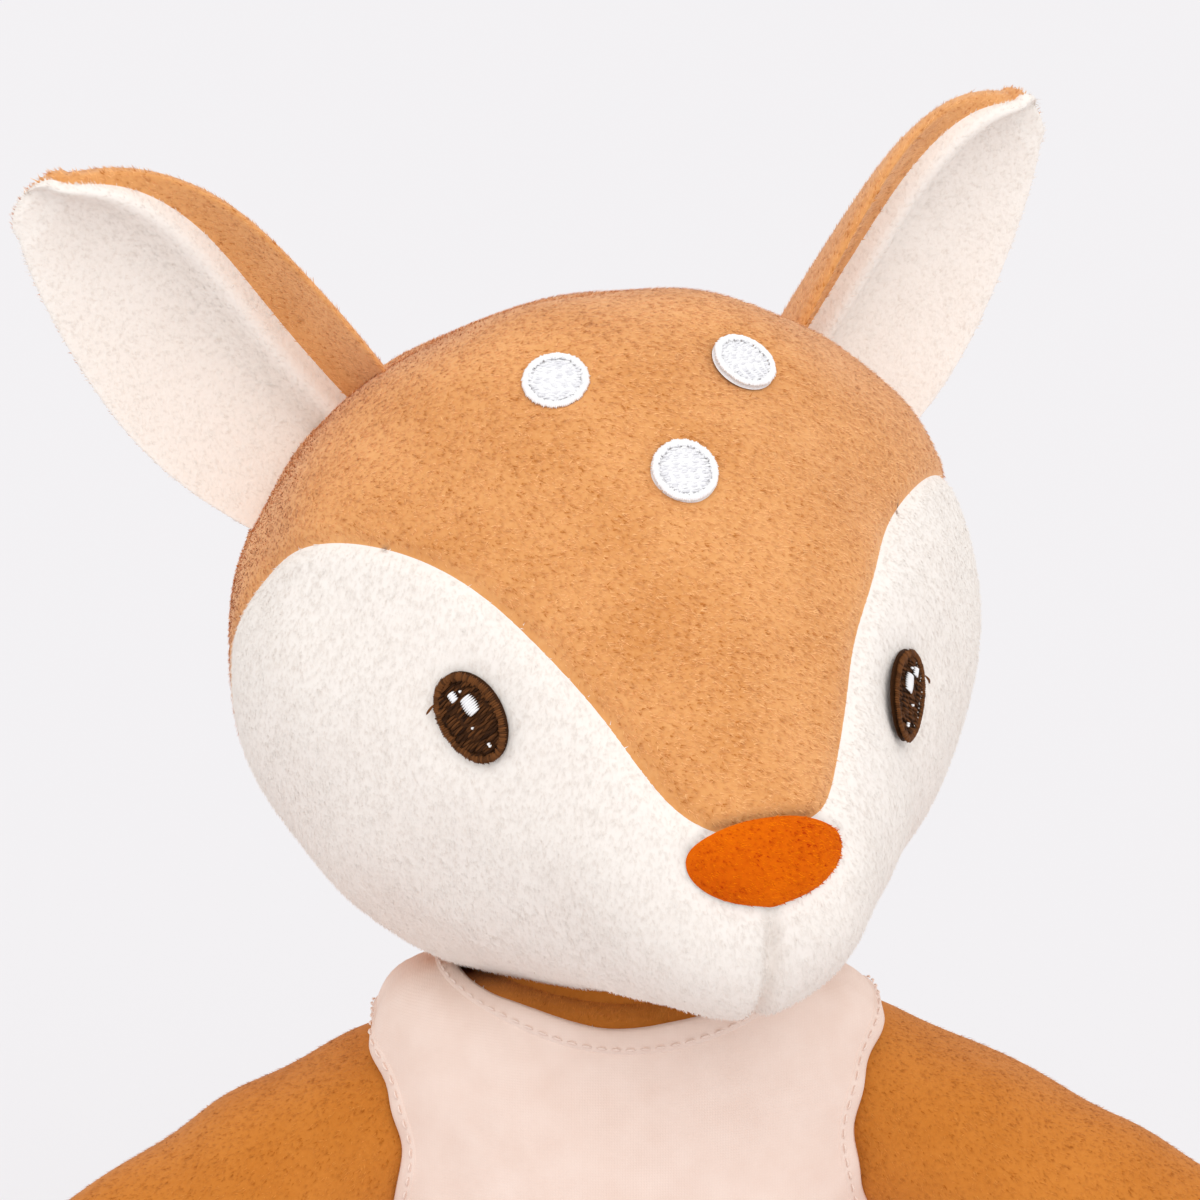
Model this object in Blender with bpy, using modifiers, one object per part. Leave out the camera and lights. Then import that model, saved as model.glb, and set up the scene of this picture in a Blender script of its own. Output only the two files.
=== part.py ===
"""A seated plush fawn in a sleeveless romper, built as its sewn covers, stuffing and clothes.

Metres, +Z up. The toy sits on Z = 0 and looks along -Y, so its own left side is +X.
Run it with blender --background --python part.py, or from the text editor.
"""

import math

import bmesh
import bpy
from mathutils import Matrix, Vector

# Cloth, and the clearances between what is sewn together
PILE_CLOTH = 0.0018
ROMPER_CLOTH = 0.0009
SEAM_GAP = 0.0003
ROMPER_EASE = 0.0007
SOCKET_GAP = 0.0006
LIMB_SOCKET_GAP = 0.0005
SWING_GAP = 0.0004
CUT_OVERRUN = 0.006

# Torso: a pear on its seat, given as rings of
# (height, half width, half depth, shift to the back) as shares of its own sizes
TORSO_HEIGHT = 0.1235
TORSO_HALF_WIDTH = 0.0435
TORSO_HALF_DEPTH = 0.0365
SEAT_FLAT_DEPTH = 0.0005
TORSO_RING_SHARES = (
    (0.00, 0.66, 0.66, 0.00),
    (0.06, 0.92, 0.92, 0.02),
    (0.25, 1.02, 1.02, 0.04),
    (0.50, 0.91, 0.89, 0.02),
    (0.76, 0.74, 0.72, 0.00),
    (0.94, 0.80, 0.67, -0.03),
    (1.00, 0.66, 0.48, -0.08),
)
PELLET_BAG_TOP_SHARE = 0.2105
ROMPER_SEAM_SETBACK = 0.004
PLACKET_SLIT = 0.0005
PLACKET_BOTTOM_SHARE = 0.567
BUTTON_RADIUS = 0.0038
BUTTON_THICKNESS = 0.0016
BUTTON_RIM = 0.0004
BUTTON_HEIGHT_SHARES = {"upper": 0.7976, "lower": 0.6437}

# Neck: a stuffed tube whose rounded top is the ball that the head rolls on
NECK_PIVOT_SHARE = 0.9879
NECK_PIVOT = Vector((0.0, 0.0, NECK_PIVOT_SHARE * TORSO_HEIGHT))
NECK_BALL_RADIUS = 0.0202
NECK_WAIST_ANGLE = math.radians(108.0)
NECK_TUBE_LENGTH = 0.0078
NECK_FOOT = NECK_PIVOT.z + NECK_BALL_RADIUS * math.cos(NECK_WAIST_ANGLE) - NECK_TUBE_LENGTH
NECK_BALL_STEPS = 6
NECK_MOUTH_STEP = 3
NECKLINE_RISE = 0.0090
NECKLINE_DIP = 0.0030
NECKLINE_ROOM = 0.0042

# Head: rings from its back to its nose, as shares (place along, half width, lift, half height)
HEAD_LENGTH = 0.1134
HEAD_HALF_WIDTH = 0.0512
HEAD_HALF_HEIGHT = 0.0467
HEAD_BACK_SHARE = 0.4762
HEAD_RING_SHARES = (
    (0.000, 0.20, 0.12, 0.21),
    (0.070, 0.60, 0.02, 0.61),
    (0.230, 0.89, -0.09, 0.89),
    (0.440, 1.00, -0.11, 1.00),
    (0.610, 0.97, -0.01, 1.00),
    (0.760, 0.64, -0.15, 0.83),
    (0.880, 0.42, -0.42, 0.56),
    (0.963, 0.28, -0.56, 0.36),
    (1.000, 0.12, -0.47, 0.15),
)
HEAD_PIVOT_SETBACK = 0.0020
HEAD_PIVOT_DEPTH_SHARE = 1.0707
HEAD_PIVOT_DEPTH = HEAD_PIVOT_DEPTH_SHARE * HEAD_HALF_HEIGHT
HEAD_TURN = math.radians(18.0)
HEAD_TILT = math.radians(-4.0)
BACK_SEAM_SHARE = 0.1235

# Cheek panels, seen from the side: points of the seam as (toward the nose, up) from the head's
# middle, in shares of the head's length and half height
CHEEK_SEAM_SHARES = (
    (0.560, -0.480),
    (0.500, -0.380),
    (0.455, -0.240),
    (0.425, -0.140),
    (0.388, -0.026),
    (0.347, 0.090),
    (0.309, 0.188),
    (0.272, 0.263),
    (0.227, 0.323),
    (0.166, 0.353),
    (0.101, 0.319),
    (0.049, 0.233),
    (0.009, 0.128),
    (-0.025, 0.019),
    (-0.055, -0.210),
    (-0.050, -0.530),
    (0.000, -0.830),
    (0.110, -1.260),
    (0.620, -1.260),
)

# Nose patch, seen from the front: half outline as (sideways, up) from its centre, in shares
# of its half width and half height
NOSE_HALF_WIDTH = 0.0098
NOSE_HALF_HEIGHT = 0.0055
NOSE_CENTRE_HEIGHT_SHARE = -0.4925
NOSE_REACH_SHARE = 0.441
NOSE_PLUMPNESS = 0.0007
NOSE_OUTLINE_SHARES = (
    (0.00, 0.96),
    (0.38, 0.92),
    (0.74, 0.68),
    (0.96, 0.38),
    (1.00, 0.06),
    (0.94, -0.28),
    (0.74, -0.62),
    (0.42, -0.86),
    (0.14, -0.94),
    (0.00, -1.02),
)

# Embroidery: three round spots on the forehead and an almond eye on each cheek. Places on the
# head are shares of its (half width, length toward the nose, half height) from its middle
SPOT_RADIUS = 0.0043
SPOT_SIDE_PLACE_SHARES = (0.2461, 0.2275, 0.7323)
SPOT_SIDE_NORMAL_SHARES = (0.25, -0.69, 0.68)
SPOT_MIDDLE_PLACE_SHARES = (0.0, 0.3228, 0.4818)
SPOT_MIDDLE_NORMAL_SHARES = (0.0, -0.85, 0.53)
EYE_HALF_LENGTH = 0.0061
EYE_HALF_WIDTH = 0.0044
EYE_PLACE_SHARES = {
    "left": (0.5234, 0.3422, -0.1884),
    "right": (0.5801, 0.3148, -0.1113),
}
EYE_NORMAL_SHARES = (0.70, -0.70, -0.10)
EYE_SLANT = math.radians(38.0)
EMBROIDERY_REACH = 0.0080

# Ears: cupped leaves, wide at the middle and pinched where they are sewn in
EAR_LENGTH = 0.0490
EAR_HALF_WIDTH = 0.0146
EAR_CUP = 0.0090
EAR_CURL = 0.0050
EAR_CLOTH = 0.0024
EAR_ROOT_PLACE_SHARES = (0.7266, -0.0529, 0.5610)
EAR_AXIS_SHARES = (0.735, 0.16, 0.660)
EAR_FACING_SHARES = (0.30, -0.92, -0.24)
EAR_LENGTH_SHARES = (-0.18, 0.12, 0.42, 0.70, 0.92, 1.00)
EAR_WIDTH_SHARES = (0.92, 1.08, 1.14, 0.88, 0.44, 0.12)
EAR_ACROSS_SHARES = (-1.0, -0.5, 0.0, 0.5, 1.0)
EAR_SWING = math.radians(15.0)

# Arms and legs: stuffed tubes with a hoof sewn on the end, as rings of
# (place along, half width, half height, lift) in shares of their own sizes, after
# a round root of rings (place along, half width) in shares of the root's radius
LIMB_ROOT_SHARES = ((-0.86, 0.48), (-0.50, 0.92))
ARM_LENGTH = 0.0880
ARM_ROOT_RADIUS = 0.0158
ARM_RING_SHARES = (
    (0.040, 0.92, 0.92, 0.00),
    (0.260, 0.99, 1.00, 0.00),
    (0.720, 0.72, 0.75, 0.00),
    (0.930, 0.84, 0.86, 0.00),
    (1.000, 0.50, 0.52, 0.00),
)
SHOULDER_SIDE_SHARE = 0.7356
SHOULDER_SETBACK = 0.0010
SHOULDER_HEIGHT_SHARES = {"left": 0.8340, "right": 0.8097}
ARM_DROPS = {"left": math.radians(26.0), "right": math.radians(29.0)}
ARM_FORWARD = math.radians(8.0)
ARM_LOWER = math.radians(12.0)
ARM_RAISE = math.radians(50.0)
ARM_HOOF_START_SHARE = 0.784

LEG_LENGTH = 0.0920
LEG_ROOT_RADIUS = 0.0178
LEG_RING_SHARES = (
    (0.045, 0.98, 0.98, 0.00),
    (0.280, 0.97, 0.99, 0.00),
    (0.700, 0.76, 0.84, 0.00),
    (0.900, 0.92, 1.05, 0.15),
    (1.000, 0.52, 0.62, 0.22),
)
HIP_SIDE_SHARE = 0.5517
HIP_FORWARD_SHARE = 0.7397
HIP_FLOOR_ROOM = 0.0036
LEG_DROP = math.radians(4.4)
LEG_SPLAY = math.radians(20.0)
LEG_LOWER = math.radians(40.0)
LEG_RAISE = math.radians(25.0)
LEG_HOOF_START_SHARE = 0.75
LIMB_MOUTH = 0.0030

# Tail: a small leaf, brown on top and cream beneath
TAIL_LENGTH = 0.0300
TAIL_HALF_WIDTH = 0.0100
TAIL_HALF_THICKNESS = 0.0042
TAIL_ROOT_DEPTH_SHARE = 1.0356
TAIL_ROOT_HEIGHT_SHARE = 0.2672
TAIL_RISE = math.radians(40.0)
TAIL_ROOT_CLEARANCE = 0.0010
TAIL_HOLE_RADIUS = 0.0075
TAIL_RING_SHARES = (
    (0.00, 0.42, 0.60),
    (0.10, 0.72, 0.92),
    (0.45, 1.10, 1.08),
    (0.80, 0.72, 0.80),
    (1.00, 0.16, 0.24),
)

SIDES = {"left": 1.0, "right": -1.0}
COARSE = 1
HEAD_DETAIL = (6, 2)
BODY_SIDES = 8
LIMB_SIDES = 8
STUFFING_SIDES = 6
TURNED_STEPS = 16
BALL_STEPS = 16
ROOT_BALL_STEPS = 20
HEAD_SOCKET_STEPS = 20
OUTLINE_STEPS = 14
WELD = 0.00002
REACH = 0.4
EMPTY_SIZE = 0.01
SHARP_ANGLE = math.radians(40.0)


def clear_scene():
    """Start from an empty file."""
    for item in list(bpy.data.objects):
        bpy.data.objects.remove(item, do_unlink=True)


def new_collection(name):
    """Add a collection to the scene."""
    collection = bpy.data.collections.new(name)
    bpy.context.scene.collection.children.link(collection)
    return collection


def new_material(name, colour, roughness):
    """Plain cloth or thread of one colour."""
    material = bpy.data.materials.new(name)
    material.use_nodes = True
    shader = material.node_tree.nodes["Principled BSDF"]
    shader.inputs["Base Color"].default_value = (*colour, 1.0)
    shader.inputs["Roughness"].default_value = roughness
    shader.inputs["Metallic"].default_value = 0.0
    material.diffuse_color = (*colour, 1.0)
    return material


def add_piece(name, mesh, collection, material=None, matrix=None):
    """Put a mesh in the scene as one named object."""
    piece = bpy.data.objects.new(name, mesh)
    collection.objects.link(piece)
    piece.matrix_world = matrix or Matrix.Identity(4)
    if material:
        mesh.materials.clear()
        mesh.materials.append(material)
    return piece


def hide_cutter(cutter):
    """Keep a cutter in its collection, out of the finished part."""
    cutter.hide_render = True
    cutter.display_type = "WIRE"
    return cutter


def apply_modifiers(piece):
    """Make what the modifiers show the piece's own mesh."""
    bpy.context.view_layer.update()
    depsgraph = bpy.context.evaluated_depsgraph_get()
    baked = bpy.data.meshes.new_from_object(piece.evaluated_get(depsgraph))
    piece.modifiers.clear()
    piece.data = baked
    return piece


def boolean(piece, cutter, operation="DIFFERENCE", solver="EXACT"):
    """Cut, intersect or join one piece with another and keep the result."""
    modifier = piece.modifiers.new(operation.title(), "BOOLEAN")
    modifier.operation = operation
    modifier.solver = solver
    modifier.object = cutter
    return apply_modifiers(piece)


def copy_piece(piece, name, collection, material=None, matrix=None):
    """A copy with its own mesh, which later cuts may change."""
    return add_piece(name, piece.data.copy(), collection, material, matrix or piece.matrix_world)


def ring_form(name, rings, sides, levels, collection):
    """A closed soft form through rings of (centre, half width vector, half height vector).

    The rings are the control cage of a Subdivision Surface. Each is drawn larger by
    3 / (2 + cos(2 pi / sides)), so the smoothed ring has the half sizes that were asked for.
    """
    turn = 2.0 * math.pi / sides
    growth = 3.0 / (2.0 + math.cos(turn))
    form = bmesh.new()
    loops = []
    for centre, across, up in rings:
        loop = []
        for step in range(sides):
            place = across * math.sin(step * turn) + up * math.cos(step * turn)
            loop.append(form.verts.new(centre + place * growth))
        loops.append(loop)
    for near, far in zip(loops, loops[1:]):
        for step in range(sides):
            after = (step + 1) % sides
            form.faces.new((near[step], near[after], far[after], far[step]))
    form.faces.new(list(reversed(loops[0])))
    form.faces.new(loops[-1])
    bmesh.ops.recalc_face_normals(form, faces=form.faces[:])
    mesh = bpy.data.meshes.new(name)
    form.to_mesh(mesh)
    form.free()
    piece = add_piece(name, mesh, collection)
    smooth = piece.modifiers.new("Smooth", "SUBSURF")
    smooth.levels = levels
    smooth.render_levels = levels
    return apply_modifiers(piece)


def prism(name, outline, axis, reach, collection):
    """A closed prism from a flat outline of points, pushed both ways along an axis."""
    form = bmesh.new()
    near = [form.verts.new(point - axis * reach) for point in outline]
    far = [form.verts.new(point + axis * reach) for point in outline]
    count = len(outline)
    for step in range(count):
        after = (step + 1) % count
        form.faces.new((near[step], near[after], far[after], far[step]))
    form.faces.new(list(reversed(near)))
    form.faces.new(far)
    bmesh.ops.recalc_face_normals(form, faces=form.faces[:])
    mesh = bpy.data.meshes.new(name)
    form.to_mesh(mesh)
    form.free()
    return hide_cutter(add_piece(name, mesh, collection))


def box_between(name, low, high, collection):
    """A box between two corners."""
    form = bmesh.new()
    bmesh.ops.create_cube(form, size=1.0)
    for vertex in form.verts:
        vertex.co = Vector(
            (
                low[axis] + (vertex.co[axis] + 0.5) * (high[axis] - low[axis])
                for axis in range(3)
            )
        )
    mesh = bpy.data.meshes.new(name)
    form.to_mesh(mesh)
    form.free()
    return hide_cutter(add_piece(name, mesh, collection))


def ball(name, centre, radius, collection, steps=BALL_STEPS):
    """A round cutter."""
    form = bmesh.new()
    bmesh.ops.create_uvsphere(
        form,
        u_segments=steps,
        v_segments=steps // 2,
        radius=radius,
        matrix=Matrix.Translation(centre),
    )
    mesh = bpy.data.meshes.new(name)
    form.to_mesh(mesh)
    form.free()
    return hide_cutter(add_piece(name, mesh, collection))


def turned(name, profile, collection):
    """A solid turned about Z from a line of (radius, height) points.

    The line ends on the axis at both ends, or comes back to its first point.
    """
    form = bmesh.new()
    points = [form.verts.new((radius, 0.0, height)) for radius, height in profile]
    for near, far in zip(points, points[1:]):
        form.edges.new((near, far))
    bmesh.ops.remove_doubles(form, verts=form.verts[:], dist=WELD)
    mesh = bpy.data.meshes.new(name)
    form.to_mesh(mesh)
    form.free()
    piece = add_piece(name, mesh, collection)
    turn = piece.modifiers.new("Turn", "SCREW")
    turn.steps = TURNED_STEPS
    turn.render_steps = TURNED_STEPS
    turn.use_merge_vertices = True
    turn.merge_threshold = WELD
    apply_modifiers(piece)
    return face_outward(piece)


def face_outward(piece):
    """Turn the faces of a closed mesh outward."""
    form = bmesh.new()
    form.from_mesh(piece.data)
    bmesh.ops.remove_doubles(form, verts=form.verts[:], dist=WELD)
    bmesh.ops.recalc_face_normals(form, faces=form.faces[:])
    form.to_mesh(piece.data)
    form.free()
    return piece


def grown(outline, amount):
    """A flat outline moved outward by an amount, square to the chord beside each point."""
    centre = sum(outline, Vector()) / len(outline)
    moved = []
    for step, point in enumerate(outline):
        before = outline[step - 1]
        after = outline[(step + 1) % len(outline)]
        chord = (after - before).normalized()
        outward = point - centre
        outward = (outward - chord * outward.dot(chord)).normalized()
        moved.append(point + outward * amount)
    return moved


def shell(name, outer, inner, collection):
    """What lies between two nested forms."""
    return boolean(copy_piece(outer, name, collection), inner)


def kept_part(piece, name, collection, material, keep=(), remove=()):
    """A new piece: what the first list's solids hold of a body, less the second list's solids.

    The exact solver loses these thin shells where slabs cross them, so the cuts here use
    the manifold one.
    """
    part = copy_piece(piece, name, collection, material)
    for cutter in keep:
        boolean(part, cutter, "INTERSECT", "MANIFOLD")
    for cutter in remove:
        boolean(part, cutter, "DIFFERENCE", "MANIFOLD")
    part.data.materials.clear()
    part.data.materials.append(material)
    part.data.shade_smooth()
    part.data.set_sharp_from_angle(angle=SHARP_ANGLE)
    return part


def joint_empty(name, place, collection):
    """An empty at a joint, which carries the moving pieces."""
    empty = bpy.data.objects.new(name, None)
    collection.objects.link(empty)
    empty.matrix_world = Matrix.Translation(place)
    empty.empty_display_size = EMPTY_SIZE
    return empty


def carry(empty, pieces, parent=None):
    """Hang pieces on a joint's empty without moving them."""
    bpy.context.view_layer.update()
    for piece in pieces:
        world = piece.matrix_world.copy()
        piece.parent = empty
        piece.matrix_parent_inverse = empty.matrix_world.inverted()
        piece.matrix_world = world
    if parent:
        world = empty.matrix_world.copy()
        empty.parent = parent
        empty.matrix_parent_inverse = parent.matrix_world.inverted()
        empty.matrix_world = world


def neck_outline(growth):
    """Half outline of the neck from its foot to the top of its ball, grown sideways.

    A ball down to the waist angle, then a straight tube to the foot.
    """
    radius = NECK_BALL_RADIUS + growth
    waist_radius = NECK_BALL_RADIUS * math.sin(NECK_WAIST_ANGLE) + growth
    points = [(waist_radius, NECK_FOOT)]
    for step in range(NECK_BALL_STEPS + 1):
        angle = NECK_WAIST_ANGLE * (1.0 - step / NECK_BALL_STEPS)
        across = NECK_BALL_RADIUS * math.sin(angle) * radius / NECK_BALL_RADIUS
        points.append((across, NECK_PIVOT.z + radius * math.cos(angle)))
    return points


def torso_form(name, growth, sides, rise, collection):
    """The body's pear shape, grown by a cloth's distance and lifted onto its seat."""
    rings = []
    last = len(TORSO_RING_SHARES) - 1
    for step, (height, width, depth, setback) in enumerate(TORSO_RING_SHARES):
        end_growth = {0: -growth, last: growth}.get(step, 0.0)
        centre = Vector(
            (0.0, setback * TORSO_HALF_DEPTH, height * TORSO_HEIGHT + end_growth + rise)
        )
        across = Vector((width * TORSO_HALF_WIDTH + growth, 0.0, 0.0))
        along = Vector((0.0, depth * TORSO_HALF_DEPTH + growth, 0.0))
        rings.append((centre, across, along))
    return hide_cutter(ring_form(name, rings, sides, COARSE, collection))


def seat_rise(collection):
    """How far the body is lifted, so that the floor cuts its romper by the seat's depth."""
    growth = ROMPER_EASE + ROMPER_CLOTH
    probe = torso_form("seat_probe", growth, BODY_SIDES, 0.0, collection)
    lowest = min(vertex.co.z for vertex in probe.data.vertices)
    bpy.data.objects.remove(probe, do_unlink=True)
    return -SEAT_FLAT_DEPTH - lowest


def head_form(name, growth, detail, collection, matrix):
    """The head's shape in its own frame, nose along -Y, grown by a cloth's distance."""
    sides, levels = detail
    rings = []
    last = len(HEAD_RING_SHARES) - 1
    for step, (place, width, lift, height) in enumerate(HEAD_RING_SHARES):
        end_growth = {0: growth, last: -growth}.get(step, 0.0)
        setback = (HEAD_BACK_SHARE - place) * HEAD_LENGTH + end_growth
        centre = Vector((0.0, setback, lift * HEAD_HALF_HEIGHT))
        across = Vector((width * HEAD_HALF_WIDTH + growth, 0.0, 0.0))
        up = Vector((0.0, 0.0, height * HEAD_HALF_HEIGHT + growth))
        rings.append((centre, across, up))
    form = hide_cutter(ring_form(name, rings, sides, levels, collection))
    form.matrix_world = matrix
    return form


def limb_form(name, shares, length, radius, growth, sides, collection, matrix):
    """An arm's or a leg's shape along its own +X, grown by a cloth's distance."""
    rings = []
    for place, width in LIMB_ROOT_SHARES:
        centre = Vector((place * (radius + growth), 0.0, 0.0))
        across = Vector((0.0, width * (radius + growth), 0.0))
        rings.append((centre, across, Vector((0.0, 0.0, across.y))))
    last = len(shares) - 1
    for step, (place, width, height, lift) in enumerate(shares):
        end_growth = growth if step == last else 0.0
        centre = Vector((place * length + end_growth, 0.0, lift * radius))
        across = Vector((0.0, width * radius + growth, 0.0))
        up = Vector((0.0, 0.0, height * radius + growth))
        rings.append((centre, across, up))
    form = hide_cutter(ring_form(name, rings, sides, COARSE, collection))
    form.matrix_world = matrix
    return form


def frame_along(place, direction, up=Vector((0.0, 0.0, 1.0))):
    """A frame at a place, with +X along a direction and +Z as near to up as it can be."""
    along = direction.normalized()
    lift = (up - along * up.dot(along)).normalized()
    across = lift.cross(along)
    matrix = Matrix((along, across, lift)).transposed().to_4x4()
    matrix.translation = place
    return matrix


def half_space(name, axis, low, high, collection):
    """A slab that reaches past the whole toy, between two places on one axis."""
    corner_low = Vector((-REACH, -REACH, -REACH))
    corner_high = Vector((REACH, REACH, REACH))
    corner_low[axis] = low
    corner_high[axis] = high
    return box_between(name, corner_low, corner_high, collection)


def shoulder(side):
    """An arm's pivot in the middle of its armhole."""
    return Vector(
        (
            SIDES[side] * SHOULDER_SIDE_SHARE * TORSO_HALF_WIDTH,
            SHOULDER_SETBACK,
            SHOULDER_HEIGHT_SHARES[side] * TORSO_HEIGHT,
        )
    )


def hip(side):
    """A leg's pivot in the middle of its leg opening."""
    return Vector(
        (
            SIDES[side] * HIP_SIDE_SHARE * TORSO_HALF_WIDTH,
            -HIP_FORWARD_SHARE * TORSO_HALF_DEPTH,
            LEG_ROOT_RADIUS + HIP_FLOOR_ROOM,
        )
    )


def tail_root():
    """Where the tail is sewn on, low on the back."""
    return Vector(
        (0.0, TAIL_ROOT_DEPTH_SHARE * TORSO_HALF_DEPTH, TAIL_ROOT_HEIGHT_SHARE * TORSO_HEIGHT)
    )


def arm_direction(side):
    """Out and down from the shoulder, and a little forward."""
    drop = ARM_DROPS[side]
    level = math.cos(drop)
    return Vector(
        (
            SIDES[side] * level * math.cos(ARM_FORWARD),
            -level * math.sin(ARM_FORWARD),
            -math.sin(drop),
        )
    )


def leg_direction(side):
    """Forward from the hip, splayed outward and a little down."""
    level = math.cos(LEG_DROP)
    return Vector(
        (
            SIDES[side] * level * math.sin(LEG_SPLAY),
            -level * math.cos(LEG_SPLAY),
            -math.sin(LEG_DROP),
        )
    )


def head_matrix():
    """Where the head's own frame stands: turned and tilted about the top of the neck."""
    turn = Matrix.Rotation(HEAD_TURN, 4, "Z")
    tilt = Matrix.Rotation(HEAD_TILT, 4, "Y")
    back = Matrix.Translation((0.0, -HEAD_PIVOT_SETBACK, HEAD_PIVOT_DEPTH))
    return Matrix.Translation(NECK_PIVOT) @ tilt @ turn @ back


def build_torso(toy, cutters, cloth):
    """The stuffed body, its pellet bag, and the romper that it wears."""
    romper_growth = ROMPER_EASE + ROMPER_CLOTH
    rise = seat_rise(cutters)
    romper_outer = torso_form("romper_outer_form", romper_growth, BODY_SIDES, rise, cutters)
    romper_inner = torso_form("romper_inner_form", ROMPER_EASE, BODY_SIDES, rise, cutters)
    body_outer = torso_form("body_outer_form", 0.0, BODY_SIDES, rise, cutters)
    body_inner = torso_form("body_inner_form", -PILE_CLOTH, STUFFING_SIDES, rise, cutters)
    fill_growth = -PILE_CLOTH - SEAM_GAP
    fill = torso_form("body_fill_form", fill_growth, STUFFING_SIDES, rise, cutters)

    neck_bore = neck_outline(SOCKET_GAP)
    neck_bore[0] = (neck_bore[0][0], NECK_FOOT - SEAM_GAP)
    collar_radius = NECK_BALL_RADIUS + SOCKET_GAP
    mouth = [point for point in neck_bore if point[1] < NECK_PIVOT.z]
    profile = [(0.0, NECK_FOOT - SEAM_GAP)] + mouth
    profile += [(collar_radius, NECK_PIVOT.z), (collar_radius, NECK_PIVOT.z + CUT_OVERRUN)]
    profile += [(0.0, NECK_PIVOT.z + CUT_OVERRUN)]
    neck_hole = hide_cutter(turned("neck_hole", profile, cutters))
    neckline_centre = NECK_PIVOT + Vector((0.0, -NECKLINE_DIP, NECKLINE_RISE))
    neckline = ball("neckline", neckline_centre, NECK_BALL_RADIUS + NECKLINE_ROOM, cutters)
    sockets = [neck_hole]
    for side in SIDES:
        sockets.append(
            ball(f"armhole_{side}", shoulder(side), ARM_ROOT_RADIUS + LIMB_SOCKET_GAP, cutters)
        )
        sockets.append(
            ball(f"leg_opening_{side}", hip(side), LEG_ROOT_RADIUS + LIMB_SOCKET_GAP, cutters)
        )
    floor = half_space("floor", 2, -REACH, 0.0, cutters)
    front_seam = ROMPER_SEAM_SETBACK - SEAM_GAP / 2
    back_seam = ROMPER_SEAM_SETBACK + SEAM_GAP / 2
    front_half = half_space("front_half", 1, -REACH, front_seam, cutters)
    back_half = half_space("back_half", 1, back_seam, REACH, cutters)
    placket = box_between(
        "placket_slit",
        Vector((-PLACKET_SLIT / 2, ROMPER_SEAM_SETBACK, PLACKET_BOTTOM_SHARE * TORSO_HEIGHT)),
        Vector((PLACKET_SLIT / 2, REACH, REACH)),
        cutters,
    )
    tail_hole = ball("tail_hole", tail_root(), TAIL_HOLE_RADIUS, cutters)

    romper = shell("romper_cloth", romper_outer, romper_inner, cutters)
    for cutter in sockets + [neckline, floor]:
        boolean(romper, cutter)
    hide_cutter(romper)
    kept_part(romper, "romper_front", toy, cloth["romper"], keep=[front_half])
    openings = [placket, tail_hole]
    kept_part(romper, "romper_back", toy, cloth["romper"], keep=[back_half], remove=openings)

    cover = shell("body_cloth", body_outer, body_inner, cutters)
    hide_cutter(cover)
    kept_part(cover, "torso_cover", toy, cloth["brown"], remove=sockets)

    bag_top = PELLET_BAG_TOP_SHARE * TORSO_HEIGHT
    bag_level = half_space("bag_level", 2, -REACH, bag_top, cutters)
    fill_level = half_space("fill_level", 2, bag_top + SEAM_GAP, NECK_FOOT - SEAM_GAP, cutters)
    holes = sockets[1:]
    kept_part(fill, "torso_stuffing", toy, cloth["fibre"], keep=[fill_level], remove=holes)
    kept_part(fill, "seat_pellet_bag", toy, cloth["bag"], keep=[bag_level], remove=holes)

    button_profile = [
        (0.0, 0.0),
        (BUTTON_RADIUS - BUTTON_RIM, 0.0),
        (BUTTON_RADIUS, BUTTON_RIM),
        (BUTTON_RADIUS, BUTTON_THICKNESS - BUTTON_RIM),
        (BUTTON_RADIUS - BUTTON_RIM, BUTTON_THICKNESS),
        (0.0, BUTTON_THICKNESS),
    ]
    for name, height_share in BUTTON_HEIGHT_SHARES.items():
        start = Vector((0.0, REACH, height_share * TORSO_HEIGHT))
        _, place, normal, _ = romper_outer.ray_cast(start, Vector((0.0, -1.0, 0.0)))
        button = turned(f"back_button_{name}", button_profile, toy)
        button.data.materials.append(cloth["button"])
        turn = normal.to_track_quat("Z", "Y").to_matrix().to_4x4()
        button.matrix_world = Matrix.Translation(place + normal * SEAM_GAP) @ turn
        button.data.shade_smooth()
        button.data.set_sharp_from_angle(angle=SHARP_ANGLE)


def build_neck(toy, cutters, cloth):
    """The neck's sewn tube and the stuffing whose round top the head rolls on."""
    outer = neck_outline(0.0)
    inner = neck_outline(-PILE_CLOTH)
    fill = neck_outline(-PILE_CLOTH - SEAM_GAP)
    steps = NECK_MOUTH_STEP + 1
    tube = outer[:steps] + list(reversed(inner[:steps])) + outer[:1]
    cover = turned("neck_cover", tube, toy)
    stuffing = turned("neck_stuffing", [(0.0, NECK_FOOT)] + fill, toy)
    for piece, material in ((cover, cloth["brown"]), (stuffing, cloth["fibre"])):
        piece.data.materials.append(material)
        piece.data.shade_smooth()
        piece.data.set_sharp_from_angle(angle=SHARP_ANGLE)
    return [cover, stuffing]


def place_on_head(shares, mirror):
    """A place on the head from shares of its sizes, mirrored to its right side where asked."""
    return Vector(
        (
            shares[0] * mirror * HEAD_HALF_WIDTH,
            -shares[1] * HEAD_LENGTH,
            shares[2] * HEAD_HALF_HEIGHT,
        )
    )


def place_head_normal(shares, mirror):
    """A direction on the head, mirrored to its right side where asked."""
    return Vector((shares[0] * mirror, shares[1], shares[2])).normalized()


def oval(centre, normal, half_length, half_width, slant, mirror):
    """An oval outline round a point, its long axis slanting down toward the nose."""
    across = Vector((0.0, 0.0, 1.0)).cross(normal).normalized() * mirror
    up = across.cross(normal) * -mirror
    long_axis = across * math.sin(slant) + up * math.cos(slant)
    short_axis = across * math.cos(slant) - up * math.sin(slant)
    points = []
    for step in range(OUTLINE_STEPS):
        angle = 2.0 * math.pi * step / OUTLINE_STEPS
        along = long_axis * half_length * math.cos(angle)
        wide = short_axis * half_width * math.sin(angle)
        points.append(centre + along + wide)
    return points


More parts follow.
